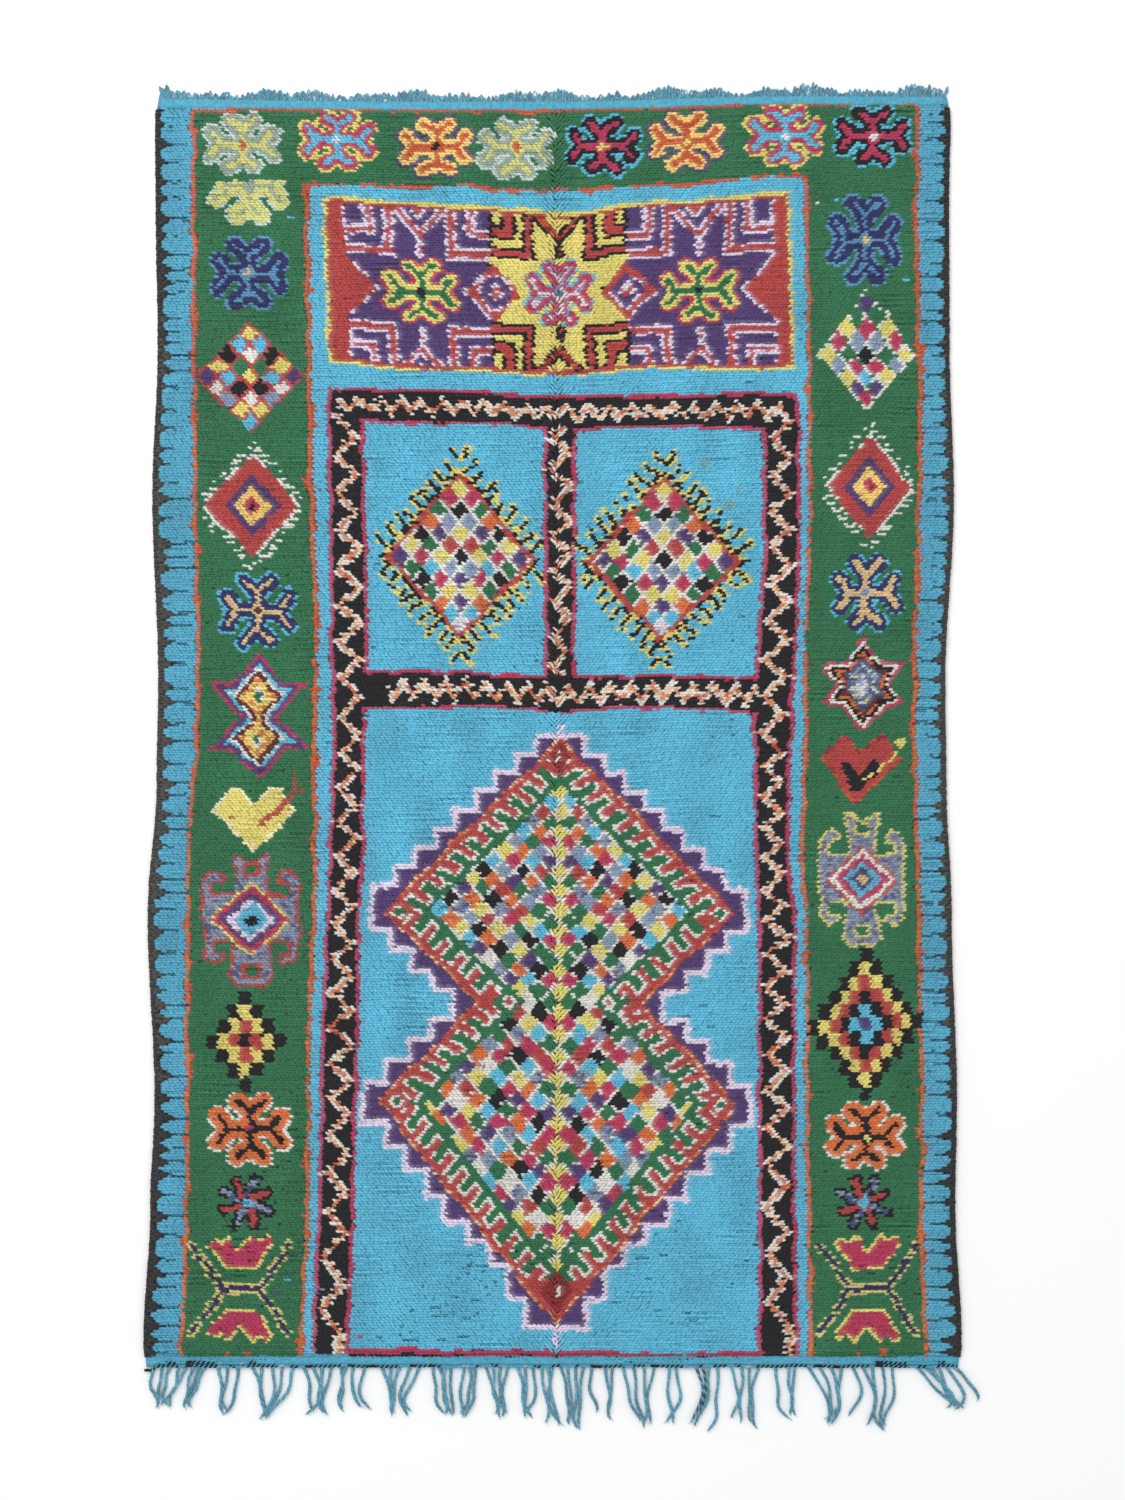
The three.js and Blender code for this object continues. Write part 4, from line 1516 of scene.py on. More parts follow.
def knot_places(random):
    """The column and the row of every knot, and its place on the even cloth."""
    column, row = np.meshgrid(np.arange(KNOT_COLUMNS), np.arange(KNOT_ROWS))
    column = column.ravel()
    row = row.ravel()
    reach = HALF_WIDTH - PILE_MARGIN
    low = BOTTOM_EDGE + LOWEST_KNOTS
    high = float(top_edge(0.0)) - TOP_WOVEN_DEPTH
    row_shift = STAGGER * (row % 2) - STAGGER / 2 + random.uniform(-ROW_SHIFT, ROW_SHIFT, KNOT_ROWS)[row]
    across = (column + 0.5 + row_shift + random.uniform(-KNOT_SHIFT, KNOT_SHIFT, row.size)) / KNOT_COLUMNS
    along = (row + 0.5) / KNOT_ROWS
    place_x = np.clip(across, SIDE_MARGIN, 1 - SIDE_MARGIN) * 2 * reach - reach
    place_y = low + along * (high - low)
    wave = ROW_WAVE * soft_noise(place_x, place_y, "row")
    place_y = place_y + wave + random.uniform(-ROW_JITTER, ROW_JITTER, row.size)
    return column, row, place_x, np.clip(place_y, low + 1, high - 1)


def cracks(x, y, row, random):
    """How open the pile is at a knot, from 0 to 1: short gaps that run along the rows, in patches."""
    patchy = PATCHES["middle"] + PATCHES["varies"] * soft_noise(x, y, "crack_patches")
    patchy = np.clip(patchy, 0, PATCHES["most"]) * np.interp(y, OPENING["y"], OPENING["share"])
    streaks = soft_noise(x, row * STREAK["row_step"], "cracks")
    streaks += STREAK["uneven"] * random.normal(size=x.size)
    return np.clip((streaks - STREAK["from"] + STREAK["patches"] * patchy) * STREAK["gain"], 0, 1)


def ridges(x, y, row):
    """How the rows of knots rise and sink along their length, about -1 to 1, more in some patches."""
    patchy = RIDGE["middle"] + RIDGE["varies"] * soft_noise(x, y, "ridge_patches")
    return np.clip(patchy, RIDGE["least"], RIDGE["most"]) * soft_noise(x, row * RIDGE["row_step"], "ridges")


def knot_colours(x, y, yarn, ridge, random):
    """The colour of each knot's fuzz, which carries a little of the yarns beside and above it, and painted
    light or shade from how high its row rises.
    """
    tone = TONE["middle"] + TONE["patches"] * soft_noise(x, y, "tone")
    # Knots on rows that rise are painted lighter and knots on rows that sink painted darker, as light and
    # shade
    tone = tone + TONE["single"] * random.normal(size=x.size) + TONE["ridges"] * ridge
    tied = yarn_shades()[yarn].reshape(KNOT_ROWS, KNOT_COLUMNS, 3)
    mixing = YARN_MIXING * (tied.mean(axis=2, keepdims=True) > DARK_YARN)
    mixed = mixing * (np.roll(tied, 1, axis=1) + np.roll(tied, 1, axis=0)) + (1 - 2 * mixing) * tied
    colours = np.clip(mixed.reshape(-1, 3) * np.clip(tone, TONE["least"], TONE["most"])[:, None], 0, 1)
    for stain_x, stain_y, reach in STAINS:
        share = np.exp(-(((x - stain_x) ** 2 + (y - stain_y) ** 2) / reach**2))[:, None]
        colours = colours * (1 - STAIN_STRENGTH * share) + STAIN_STRENGTH * share * linear(STAIN_COLOUR)
    return colours


def make_pile(material):
    """Strips of pile, with a knot on each of their places."""
    random = np.random.default_rng(SEED)
    column, row, place_x, place_y = knot_places(random)
    x, y = cloth_point(place_x, place_y)
    chart = charted(x, y, SEED + 1)
    x = x + chart.shift
    count = x.size
    ridge = ridges(x, y, row)
    colours = knot_colours(x, y, chart.yarn, ridge, random)
    flare = np.exp(-((np.abs(x - FOLD["x"]) / FLARE["reach"]) ** 2))
    opened = np.maximum(cracks(x, y, row, random), chart.gap)
    top = pile_top(x, y, place_x, place_y) - CRACK["depth"] * opened
    top -= FLARE["drop"] * flare * random.random(count)
    top += TIP_UNEVEN * random.normal(size=count) + RIDGE["height"] * ridge
    top = np.maximum(top, LOWEST_TIP)
    side = np.where(x < FOLD["x"], -1.0, 1.0)
    lean = side * (LEAN["middle"] + LEAN["uneven"] * random.normal(size=count))
    lean = lean * (1 - flare) + flare * side * random.uniform(*FLARE["lean"], count)
    long = (LONG["least"] + LONG["more"] * random.random(count)) * (1 + FLARE["longer"] * flare)
    thick = (THICK["least"] + THICK["more"] * random.random(count)) * (1 - CRACK["thinner"] * opened)
    thick = thick * (1 - FLARE["thinner"] * flare)
    roll_x = ROLL["x"] * random.normal(size=count)
    roll_y = ROLL["y"] * random.normal(size=count)
    turn = np.stack([roll_x, roll_y, lean], axis=1)
    stretch = np.stack([long, thick, np.ones(count)], axis=1)
    places = np.stack([x, y, top - KNOT_DEPTH], axis=1)
    strips = []
    for number in range(PILE_STRIPS):
        chosen = column * PILE_STRIPS // KNOT_COLUMNS == number
        strip = mesh_object(
            f"pile_{number + 1}",
            places[chosen],
            attributes=(
                ("turn", "FLOAT_VECTOR", turn[chosen]),
                ("stretch", "FLOAT_VECTOR", stretch[chosen]),
                ("yarn_colour", "FLOAT_COLOR", rgba(colours[chosen])),
            ),
        )
        strips.append(grow_knots(strip, material))
        give_bake_map(strip)
    return strips


def grow_knots(strip, material):
    """Puts a knot on every point of the strip."""
    sizes = (
        ("Knot Length", "NodeSocketFloat", KNOT_LENGTH * MM / 2),
        ("Knot Thickness", "NodeSocketFloat", KNOT_THICKNESS * MM / 2),
        ("Knot Depth", "NodeSocketFloat", KNOT_DEPTH * MM),
    )
    nodes, given = geometry_tree("knots of " + strip.name, sizes)
    ball = nodes.add("GeometryNodeMeshUVSphere", inputs={"Segments": 4, "Rings": 2, "Radius": 1.0})
    spin = (0, 0, math.radians(KNOT_TWIST))
    lump = nodes.add("GeometryNodeTransform", inputs={"Geometry": ball, "Rotation": spin})
    lengths = (given["Knot Length"], given["Knot Thickness"], given["Knot Depth"])
    size = nodes.add("ShaderNodeCombineXYZ", inputs=lengths)
    stretch = nodes.named_attribute("stretch", "FLOAT_VECTOR")
    turn = nodes.named_attribute("turn", "FLOAT_VECTOR")
    rotation = nodes.add("FunctionNodeEulerToRotation", inputs=(turn,))
    scale = nodes.add("ShaderNodeVectorMath", {"operation": "MULTIPLY"}, (size, stretch))
    placed = nodes.add(
        "GeometryNodeInstanceOnPoints",
        inputs={"Points": given["Geometry"], "Instance": lump, "Rotation": rotation, "Scale": scale},
    )
    return finished_by(nodes, strip, sizes, placed, material)


# The cloth under the pile, with its flat-woven ends

GROUND_COLUMNS = 110
GROUND_ROWS = 220
# Rows of points in the woven ends, from the edge of the cloth
BOTTOM_WOVEN_ROWS = (0, 9, BOTTOM_WOVEN_DEPTH)
TOP_WOVEN_ROWS = (TOP_WOVEN_DEPTH, 6, 0)
WOVEN_OVERLAP = 2
RIM = 5
# The cloth under the pile: how far it lies above the woven ends, and the share of the pile's rise it takes
GROUND_RISE = {"height": 1.5, "share": 0.1}
# How dark the cloth is: on its face, painted shade in the gaps between the knots; on its back; in its woven
# ends; and on its rim, whose face is darker than its back
GROUND_SHADES = {"face": 0.38, "back": 0.8, "woven": 0.84, "rim": 0.6}


def make_ground(material):
    """A closed slab with the outline of the cloth; its back shows the knots' colours, and its face shows
    them darkened as painted shade.
    """
    across = np.linspace(-HALF_WIDTH, HALF_WIDTH, GROUND_COLUMNS)
    low = BOTTOM_EDGE + np.array(BOTTOM_WOVEN_ROWS)
    high = float(top_edge(0.0)) - np.array(TOP_WOVEN_ROWS)
    inner_rows = GROUND_ROWS - len(low) - len(high)
    between_ends = np.linspace(low[-1], high[0], inner_rows + 2)[1:-1]
    along = np.concatenate([low, between_ends, high])
    columns = len(across)
    rows = len(along)
    column, row = (places.ravel() for places in np.meshgrid(across, along))
    x, y = cloth_point(column, row)
    pile = pile_top(x, y, column, row)
    rise = GROUND_RISE["height"] + GROUND_RISE["share"] * (pile - WOVEN_HEIGHT)
    upper = np.minimum(pile, WOVEN_HEIGHT + rise)
    count = x.size
    tied = yarn_shades()[charted(x, y, SEED + 2).yarn]
    sky = linear(YARNS["sky"]) * GROUND_SHADES["woven"]
    woven = ((row < low[-1] + WOVEN_OVERLAP) | (row > high[0] - WOVEN_OVERLAP))[:, None]
    dark = linear(YARNS["charcoal"])
    rim = ((np.abs(column) > HALF_WIDTH - RIM) & between(y, *DARK_ENDS))[:, None]
    # The face between the knots takes the knots' colours darkened, as painted shade in the gaps of the pile
    face = np.where(rim, dark * GROUND_SHADES["rim"], np.where(woven, sky, tied * GROUND_SHADES["face"]))
    back = np.where(rim, dark, np.where(woven, sky, tied * GROUND_SHADES["back"]))
    points = np.concatenate([np.stack([x, y, upper], axis=1), np.stack([x, y, np.zeros(count)], axis=1)])
    faces = [grid_faces(columns, rows), grid_faces(columns, rows, first=count, flip=True)]
    # The walls: the first point of an edge of the grid, the step along it, its length and its direction
    for start, step, length, flip in (
        (0, 1, columns, True),
        ((rows - 1) * columns, 1, columns, False),
        (0, columns, rows, False),
        (columns - 1, columns, rows, True),
    ):
        edge = start + step * np.arange(length)
        wall = np.stack([edge[:-1], edge[1:], edge[1:] + count, edge[:-1] + count], axis=1)
        faces.append(wall[:, ::-1] if flip else wall)
    item = mesh_object(
        "ground_cloth",
        points,
        np.concatenate(faces).tolist(),
        attributes=(("yarn_colour", "FLOAT_COLOR", rgba(np.concatenate([face, back]))),),
    )
    item.data.materials.append(material)
    item.data.shade_smooth()
    return item


# Yarns that follow paths

YARN_SIDES = 4


def yarn_mesh(name, paths, material):
    """Tubes along paths; a path is its points, its half thicknesses and its colours."""
    points = np.concatenate([path[0] for path in paths])
    thick = np.concatenate([path[1] for path in paths])
    colours = np.concatenate([path[2] for path in paths])
    edges = []
    first = 0
    for path in paths:
        steps = np.arange(first, first + len(path[0]) - 1)
        edges.append(np.stack([steps, steps + 1], axis=1))
        first += len(path[0])
    item = mesh_object(
        name,
        points,
        edges=np.concatenate(edges).tolist(),
        attributes=(("half_thickness", "FLOAT", thick * MM), ("yarn_colour", "FLOAT_COLOR", rgba(colours))),
    )
    sizes = (("Yarn Sides", "NodeSocketInt", YARN_SIDES),)
    nodes, given = geometry_tree("yarns of " + name, sizes)
    thickness = nodes.named_attribute("half_thickness", "FLOAT")
    curve = nodes.add("GeometryNodeMeshToCurve", inputs={"Mesh": given["Geometry"]})
    profile = nodes.add(
        "GeometryNodeCurvePrimitiveCircle", inputs={"Resolution": given["Yarn Sides"], "Radius": 1.0})
    tube = nodes.add(
        "GeometryNodeCurveToMesh",
        inputs={"Curve": curve, "Profile Curve": profile, "Scale": thickness, "Fill Caps": True},
    )
    return finished_by(nodes, item, sizes, tube, material)


def variation(index, kind):
    """A fixed uneven number from -1 to 1, the same as the solid's."""
    wave = np.sin((index + 1) * 12.9898 + kind * 78.233) * 43758.5453
    return 2 * (wave - np.floor(wave)) - 1


def plied(path, half_ply, turn_length, start=0.0):
    """The paths of two plies that are twisted around a path, which doesn't run upright."""
    steps = np.linalg.norm(np.diff(path, axis=0), axis=1)
    distance = np.concatenate([[0], np.cumsum(steps)])
    along = np.gradient(path, axis=0)
    along /= np.linalg.norm(along, axis=1)[:, None]
    across = np.cross(along, [0, 0, 1.0])
    across /= np.linalg.norm(across, axis=1)[:, None]
    upward = np.cross(across, along)
    plies = []
    for number in range(2):
        angle = start + math.pi * number + 2 * math.pi * distance / turn_length
        offset = half_ply * (np.cos(angle)[:, None] * across + np.sin(angle)[:, None] * upward)
        plies.append(path + offset)
    return plies


# The fringe: where its yarns start in the solid's strip of cord, how far apart their tips lie, and how
# high they run

STRIP_OVERLAP = 1.5
PARTING = 0.3
STRIP_DEPTH = 4.5
TIP_PITCH = 5.2
YARN_RISE = 4.0
LEVEL_RISE = 1.1
# A fringe yarn's two plies, their thickness towards the tip, how much darker the second one is painted, as
# shade in the grooves of the twist, and how much the tone varies from yarn to yarn and along a yarn
PLY = {"half": 2.3, "out": 1.35, "turn": 15.0, "steps": 34, "uneven": 0.15}
PLY_TIP = (0.85, 0.6, 0.3)
PLY_TONE = {"first": 1.08, "second_ply_shade": 0.24, "varies": 0.12}
# How a fringe yarn differs from its group: its length, its sway, its small waves and its curled tip
UNEVEN_REACH = 0.07
OWN_SWAY = 9
WAVE = {"size": 5.4, "turns": 7, "varies": 2.5}
CURL = {"size": 11, "from": 0.7}
# The two yarns whose second ply is dark
MARLED_YARNS = {59: "ink", 60: "charcoal"}
# The fibres at a tip: how they splay, how long and thick they are, and how high they lie
FRAY = {"count": 3, "steps": 4, "across": (-0.7, 0.7), "along": (-0.3, 0.2), "length": (4, 9),
        "overlap": 3, "half": (0.6, 0.25), "heights": (0.7, 8)}
# The gathered groups: how many yarns, from and to where they leave the cloth, where the middle of their
# tips lies, how far they reach and how they sway
FRINGE_GROUPS = (
    (5, -752, -689, -732, 68, -3),
    (3, -677, -654, -689, 70, -3),
    (3, -632, -593, -622, 83, 2),
    (5, -568, -489, -543, 90, 5),
    (4, -470, -417, -447, 80, 4),
    (2, -399, -389, -401, 75, 4),
    (2, -375, -353, -357, 70, -6),
    (5, -323, -249, -291, 83, -6),
    (4, -225, -191, -202, 85, 4),
    (3, -166, -146, -170, 87, 6),
    (4, -125, -83, -97, 85, -4),
    (3, -66, -36, -46, 87, 5),
    (3, -19, 1, 2, 100, -5),
    (4, 15, 60, 40, 105, -4),
    (1, 75, 75, 84, 80, -5),
    (2, 100, 115, 109, 93, 4),
    (4, 134, 194, 172, 103, -5),
    (2, 222, 233, 226, 99, 3),
    (3, 272, 297, 276, 100, 5),
    (1, 313, 313, 303, 110, 9),
    (2, 338, 358, 343, 96, 5),
    (2, 374, 392, 378, 104, -4),
    (1, 423, 423, 436, 92, -9),
    (2, 447, 459, 458, 85, -8),
    (4, 483, 547, 528, 100, 5),
    (1, 568, 568, 566, 90, 8),
    (4, 587, 643, 615, 108, 6),
    (5, 687, 744, 764, 72, 0),
    (1, 758, 758, 795, 56, 4),
)


def fringe_paths():
    """The path of each fringe yarn, as its solid runs."""
    paths = []
    s = np.linspace(0, 1, PLY["steps"])
    eased = (1 - (1 - s) ** 1.7) * (1 - s) + s * s * (3 - 2 * s) * s
    for count, start, end, tip_middle, reach, sway in FRINGE_GROUPS:
        for number in range(count):
            share = number / (count - 1) if count > 1 else 0.5
            index = len(paths)
            root = start + (end - start) * share
            tip = tip_middle + (share - 0.5) * (count - 1) * TIP_PITCH
            length = reach * (1 + UNEVEN_REACH * variation(index, 1))
            own_sway = sway + OWN_SWAY * variation(index, 2)
            turns = WAVE["turns"] + WAVE["varies"] * variation(index, 3)
            wave = WAVE["size"] * np.sin(turns * s + 3 * variation(index, 4)) * s
            curled = np.clip((s - CURL["from"]) / (1 - CURL["from"]), 0, 1) ** 2
            x = root + (tip - root) * eased + own_sway * np.sin(math.pi * s) + wave
            x += CURL["size"] * variation(index, 5) * curled
            y = BOTTOM_EDGE + STRIP_OVERLAP - PARTING - (STRIP_DEPTH + length) * s
            z = YARN_RISE + 0.5 + LEVEL_RISE * (index % 2) + 0.5 * np.sin(7 * s + index) * (s > 0.1)
            paths.append(np.stack([x, y, z], axis=1))
    return paths


def plain_yarn(path, half, colour):
    """One yarn of one colour for yarn_mesh."""
    count = len(path)
    return path, half * np.ones(count), np.outer(np.ones(count), colour)


def make_fringe(material):
    random = np.random.default_rng(SEED + 3)
    sky = linear(YARNS["faded_sky"])
    yarns = []
    for index, path in enumerate(fringe_paths()):
        tone = 1 + PLY_TONE["varies"] * random.uniform(-1, 1)
        for number, ply in enumerate(plied(path, PLY["out"], PLY["turn"], random.uniform(0, 6))):
            # The second ply is painted darker, as shade in the grooves of the twist
            colour = sky * tone * (PLY_TONE["first"] - PLY_TONE["second_ply_shade"] * number)
            if index in MARLED_YARNS and number:
                colour = linear(YARNS[MARLED_YARNS[index]])
            along = np.linspace(0, 1, len(ply))
            uneven = np.sin(11 * along + random.uniform(0, 6)) - along
            uneven = 1 + PLY_TONE["varies"] * uneven
            half = PLY["half"] * (1 + PLY["uneven"] * random.uniform(-1, 1)) * np.ones(len(ply))
            half[-3:] *= PLY_TIP
            yarns.append((ply, half, np.clip(np.outer(uneven, colour), 0, 1)))
        yarns += frayed_tip(path, sky * tone, random)
    return yarn_mesh("bottom_yarns", yarns, material)


def frayed_tip(path, colour, random):
    """Single fibres that splay from the end of a yarn."""
    fibres = []
    end = path[-1]
    along = path[-1] - path[-4]
    along /= np.linalg.norm(along)
    s = np.linspace(0, 1, FRAY["steps"])
    for _ in range(FRAY["count"]):
        way = along + np.array([random.uniform(*FRAY["across"]), random.uniform(*FRAY["along"]), 0])
        length = random.uniform(*FRAY["length"])
        points = end - along * FRAY["overlap"] + way * length * s[:, None]
        points[:, 2] = np.clip(end[2] - s, *FRAY["heights"])
        fibres.append(plain_yarn(points, np.linspace(*FRAY["half"], len(s)), colour))
    return fibres


# The loops of warp at the cut end: where they start and how far apart they stand, how high they reach and
# in which waves along the edge, how wide they are, how far they lean, and their yarn
LOOPS = {"margin": 12, "overlap": 6, "pitch": (1.7, 4.2), "steps": 9}
LOOP_RISE = {"middle": 19, "uneven": (-7, 3.5), "waves": ((3.6, 15, 0), (4.2, 39, 2))}
LOOP_SHAPE = {"width": (6, 20), "lean": (-5, 5), "half": (0.9, 1.8), "tone": (0.6, 1.1)}
# The two pulled corners: where their tips and roots lie, how many yarns each has, and how these run
PULLED_CORNERS = ((-742, -726), (748, 736))
PULLED = {"count": 6, "steps": 6, "root": (-8, 8), "overlap": 4, "tip_x": (-2, 2), "tip_y": 1211,
          "uneven_y": (-4, 5), "half": (2.4, 0.7), "tone": (0.7, 1)}


def make_frayed_top(material):
    """Ragged loops of warp along the cut end."""
    random = np.random.default_rng(SEED + 4)
    sky = linear(YARNS["faded_sky"])
    yarns = []
    s = np.linspace(0, 1, LOOPS["steps"])
    x = -HALF_WIDTH + LOOPS["margin"]
    while x < HALF_WIDTH - LOOPS["margin"]:
        edge = float(top_edge(x)) - LOOPS["overlap"]
        rise = LOOP_RISE["middle"] + random.uniform(*LOOP_RISE["uneven"])
        for size, length, start in LOOP_RISE["waves"]:
            rise += size * math.sin(x / length + start)
        width = random.uniform(*LOOP_SHAPE["width"])
        loop_x = x + width * (s - 0.5) + random.uniform(*LOOP_SHAPE["lean"]) * np.sin(math.pi * s)
        loop_y = edge + rise * np.sin(math.pi * s) ** 0.7 * (1 + 0.2 * np.sin(9 * s + x))
        loop_z = 2.2 + 1.6 * np.sin(math.pi * s + x) ** 2
        half = random.uniform(*LOOP_SHAPE["half"])
        colour = sky * random.uniform(*LOOP_SHAPE["tone"])
        yarns.append(plain_yarn(np.stack([loop_x, loop_y, loop_z], axis=1), half, colour))
        x += random.uniform(*LOOPS["pitch"])
    s = np.linspace(0, 1, PULLED["steps"])
    for corner_x, root_x in PULLED_CORNERS:
        for _ in range(PULLED["count"]):
            root = root_x + random.uniform(*PULLED["root"])
            edge = float(top_edge(root)) - PULLED["overlap"]
            tip_x = corner_x + random.uniform(*PULLED["tip_x"])
            tip_y = PULLED["tip_y"] + random.uniform(*PULLED["uneven_y"])
            x = root + (tip_x - root) * s
            y = edge + (tip_y - edge) * s**0.8
            path = np.stack([x, y, 3 + 0.5 * s], axis=1)
            colour = sky * random.uniform(*PULLED["tone"])
            yarns.append(plain_yarn(path, np.linspace(*PULLED["half"], len(s)), colour))
    return yarn_mesh("top_loops", yarns, material)


TWINE = {"half": 1.8, "out": 1.1, "turn": 9.0, "steps": 1400, "y": 2.2, "rise": 1.6}
# How much thicker the first yarn is than the second, as shares of the half thickness
TWINE_THICK = (1.2, 0.85)
# Where each twined line runs, how far it lies above the first, and how much of it is dark
TWINED_RUNS = ((-770, 766, 0.0, 0.7), (-742, -560, 6.5, 0.2), (610, 742, 6.0, 0.1))
# The ends of a line hang over the cloth's edge: from where, over which length, how high and how far they go
TWINE_DROP = {"start": 2, "length": 9, "height": 3.9, "along": 7}
TWINE_TONES = {"sky": 0.8, "pale": 0.7}
# Where the sky yarn shows most, and how uneven the line has to be for its dark and its pale places
TWINE_BLUE = {"x": -40, "reach": 260, "share": 1.3}
TWINE_SECOND_DARK = 1.5
TWINE_PALE = -2.1


def make_twined_line(material):
    """Lines of two yarns, one sky and one dark, twined along the fringed end."""
    yarns = []
    sky = linear(YARNS["sky"]) * TWINE_TONES["sky"]
    black = linear(YARNS["black"])
    pale = linear(YARNS["bone"]) * TWINE_TONES["pale"]
    for start, end, lift, darkness in TWINED_RUNS:
        steps = int(TWINE["steps"] * (end - start) / (2 * HALF_WIDTH))
        x = np.linspace(start, end, steps)
        y = BOTTOM_EDGE + TWINE["y"] + lift + 0.9 * np.sin(x / 23) + 0.6 * np.sin(x / 9 + 1)
        dropped = np.clip((np.abs(x) - HALF_WIDTH + TWINE_DROP["start"]) / TWINE_DROP["length"], 0, 1)
        y = y - TWINE_DROP["along"] * dropped * (x < 0)
        z = (WOVEN_HEIGHT + TWINE["rise"]) * (1 - dropped) + TWINE_DROP["height"] * dropped
        middle = np.exp(-(((x - TWINE_BLUE["x"]) / TWINE_BLUE["reach"]) ** 2))
        first_dark = TWINE_BLUE["share"] * (middle - darkness)
        for number, ply in enumerate(plied(np.stack([x, y, z], axis=1), TWINE["out"], TWINE["turn"])):
            uneven = np.sin(x / 6.1 + number) + np.sin(x / 17.3 + 2 + number) + 0.8 * np.sin(x / 71)
            dark = uneven > (TWINE_SECOND_DARK if number else first_dark)
            colours = np.where(dark[:, None], black, sky)
            colours = np.where((uneven < TWINE_PALE)[:, None], pale, colours)
            yarns.append((ply, np.full(steps, TWINE["half"] * TWINE_THICK[number]), colours))
    return yarn_mesh("twined_line", yarns, material)


# The wrapped yarn of a selvedge: its pitch, its thickness, and how far round the edge a turn reaches past
# half a circle; then where a turn's ends lie, how far it goes out and up, and how far its middle bends in
WRAP = {"pitch": 6.0, "half": 2.9, "steps": 6, "more_turn": 0.35}
WRAP_PLACE = {"inset": 4.0, "out": 5.2, "tuck": 2.5, "bend": 4, "middle": 5.5, "rise": 2.3, "slant": 2.4}
WRAP_UNEVEN = {"along": 0.8, "out": 0.6, "tone": (0.8, 1.1), "thick": (0.85, 1.04)}


def make_selvedges(material):
    """Dark yarn wrapped over both long edges."""
    random = np.random.default_rng(SEED + 5)
    low, high = DARK_ENDS
    angle = np.linspace(-WRAP["more_turn"], math.pi + WRAP["more_turn"], WRAP["steps"])
    yarns = []
    for side in (-1, 1):
        for place in np.arange(low, high, WRAP["pitch"]):
            jitter = random.uniform(-WRAP_UNEVEN["along"], WRAP_UNEVEN["along"])
            row = place + jitter + WRAP_PLACE["slant"] * np.cos(angle)
            column = np.full(len(angle), side * (HALF_WIDTH - WRAP_PLACE["inset"]))
            x, y = cloth_point(column, row)
            out = WRAP_PLACE["out"] + random.uniform(-WRAP_UNEVEN["out"], WRAP_UNEVEN["out"])
            out = out * np.sin(angle) - WRAP_PLACE["tuck"] * (np.sin(angle) < 0)
            x = x + side * (out - WRAP_PLACE["bend"] * np.abs(np.cos(angle)) ** 3)
            z = WRAP_PLACE["middle"] + WRAP_PLACE["rise"] * np.cos(angle)
            sooty = 0.5 + 0.5 * math.cos(2 * math.pi * (place - low) / (high - low))
            colour = linear(YARNS["charcoal"]) * (1 - sooty) + linear(YARNS["soot"]) * sooty
            colour = colour * random.uniform(*WRAP_UNEVEN["tone"])
            half = WRAP["half"] * random.uniform(*WRAP_UNEVEN["thick"])
            yarns.append(plain_yarn(np.stack([x, y, z], axis=1), half, colour))
    return yarn_mesh("selvedges", yarns, material)


# A knot's corners, and which part of its square its upper and its lower faces take up, across and up
KNOT_CORNERS = 6
UPPER_PART = ((0.04, 0.62), (0.05, 0.95))
LOWER_PART = ((0.7, 0.96), (0.05, 0.95))


def give_bake_map(strip):
    """Gives each knot its own square of the strip's baked image, the upper faces beside the lower ones."""
    mesh = strip.data
    corners = np.zeros(len(mesh.loops), np.int32)
    mesh.loops.foreach_get("vertex_index", corners)
    places = np.zeros(len(mesh.vertices) * 3)
    mesh.vertices.foreach_get("co", places)
    places = places.reshape(-1, KNOT_CORNERS, 3)
    offsets = places - places.mean(axis=1, keepdims=True)
    flat = 0.5 + 0.5 * offsets / np.abs(offsets).max(axis=1, keepdims=True)
    faces = corners.reshape(-1, 3)
    knot = faces[:, 0] // KNOT_CORNERS
    tip = places[:, :, 2].argmax(axis=1)
    is_upper = (faces % KNOT_CORNERS == tip[knot][:, None]).any(axis=1)
    squares = math.ceil(math.sqrt(len(places)))
    square = np.stack([knot % squares, knot // squares], axis=1)
    at = flat.reshape(-1, 3)[faces][:, :, :2]
    for axis in range(2):
        low = np.where(is_upper, UPPER_PART[axis][0], LOWER_PART[axis][0])[:, None]
        high = np.where(is_upper, UPPER_PART[axis][1], LOWER_PART[axis][1])[:, None]
        at[:, :, axis] = (square[:, axis][:, None] + low + (high - low) * at[:, :, axis]) / squares
    layer = mesh.uv_layers.new(name="OFBake")
    layer.data.foreach_set("uv", at.astype(np.float32).ravel())


# Camera, light and floor

CAMERA = {"x": 19.8, "y": -39.6, "height": 4730.0, "lens": 60.0}


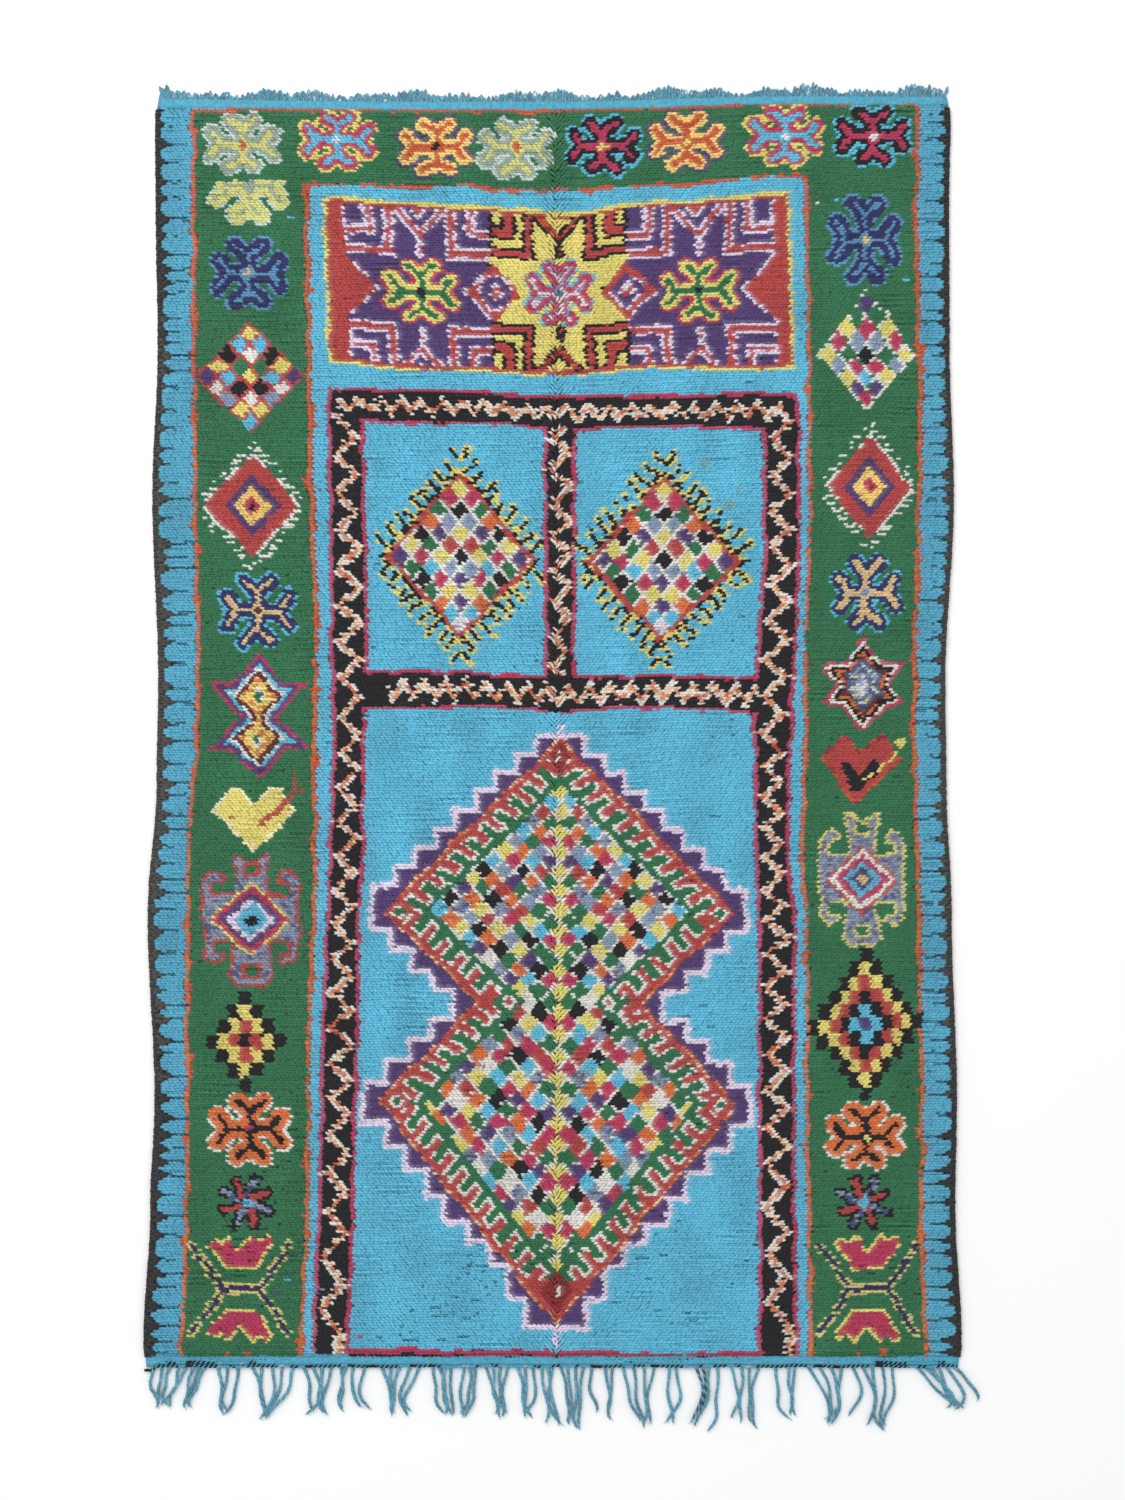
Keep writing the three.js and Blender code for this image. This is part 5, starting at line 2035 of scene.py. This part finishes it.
def make_camera():
    data = bpy.data.cameras.new("camera")
    data.lens = CAMERA["lens"]
    data.sensor_width = 36
    data.clip_end = 100
    item = bpy.data.objects.new("camera", data)
    item.location = (CAMERA["x"] * MM, CAMERA["y"] * MM, CAMERA["height"] * MM)
    bpy.context.scene.collection.objects.link(item)
    bpy.context.scene.camera = item


# The soft light all around, and the window light, in metres and degrees
STUDIO_STRENGTH = 0.8
WINDOW = {"size": (3.2, 2.6), "energy": 105, "place": (-1.7, 2.4, 4.2), "turn": (-29, -21, 0)}
FLOOR = {"half": 4000, "z": -0.2, "colour": (254, 254, 254), "roughness": 0.9}


def make_light():
    world = bpy.data.worlds.new("studio")
    world.use_nodes = True
    nodes = Nodes(world.node_tree)
    around = nodes.add("ShaderNodeBackground", inputs={"Color": (1, 1, 1, 1), "Strength": STUDIO_STRENGTH})
    nodes.add("ShaderNodeOutputWorld", inputs={"Surface": around})
    bpy.context.scene.world = world
    data = bpy.data.lights.new("window light", "AREA")
    data.shape = "RECTANGLE"
    data.size, data.size_y = WINDOW["size"]
    data.energy = WINDOW["energy"]
    item = bpy.data.objects.new("window light", data)
    item.location = WINDOW["place"]
    item.rotation_euler = [math.radians(angle) for angle in WINDOW["turn"]]
    bpy.context.scene.collection.objects.link(item)
    bpy.context.scene.view_settings.view_transform = "Standard"


def make_floor():
    half = FLOOR["half"]
    corners = [(x, y, FLOOR["z"]) for x, y in ((-half, -half), (half, -half), (half, half), (-half, half))]
    floor = mesh_object("floor", corners, [(0, 1, 2, 3)])
    floor.data.materials.append(plain_surface("pale floor", FLOOR["colour"], FLOOR["roughness"]))


# Putting the rug together

make_camera()
make_light()
make_floor()

warp_wool = wool("warp yarn")
dark_wool = wool("dark edge yarn")

ground = make_ground(wool("woven wool", is_woven=True))
pile = make_pile(wool("pile wool"))
selvedges = make_selvedges(dark_wool)
twined = make_twined_line(dark_wool)
bottom_yarns = make_fringe(warp_wool)
top_loops = make_frayed_top(warp_wool)

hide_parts("rug")
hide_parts("bottom_fringe")
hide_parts("top_fringe")
for piece in (ground, *pile, selvedges, twined, bottom_yarns, top_loops):
    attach(piece, "root")
    "warp_yarn" if piece in (bottom_yarns, top_loops) else "wool_pile"
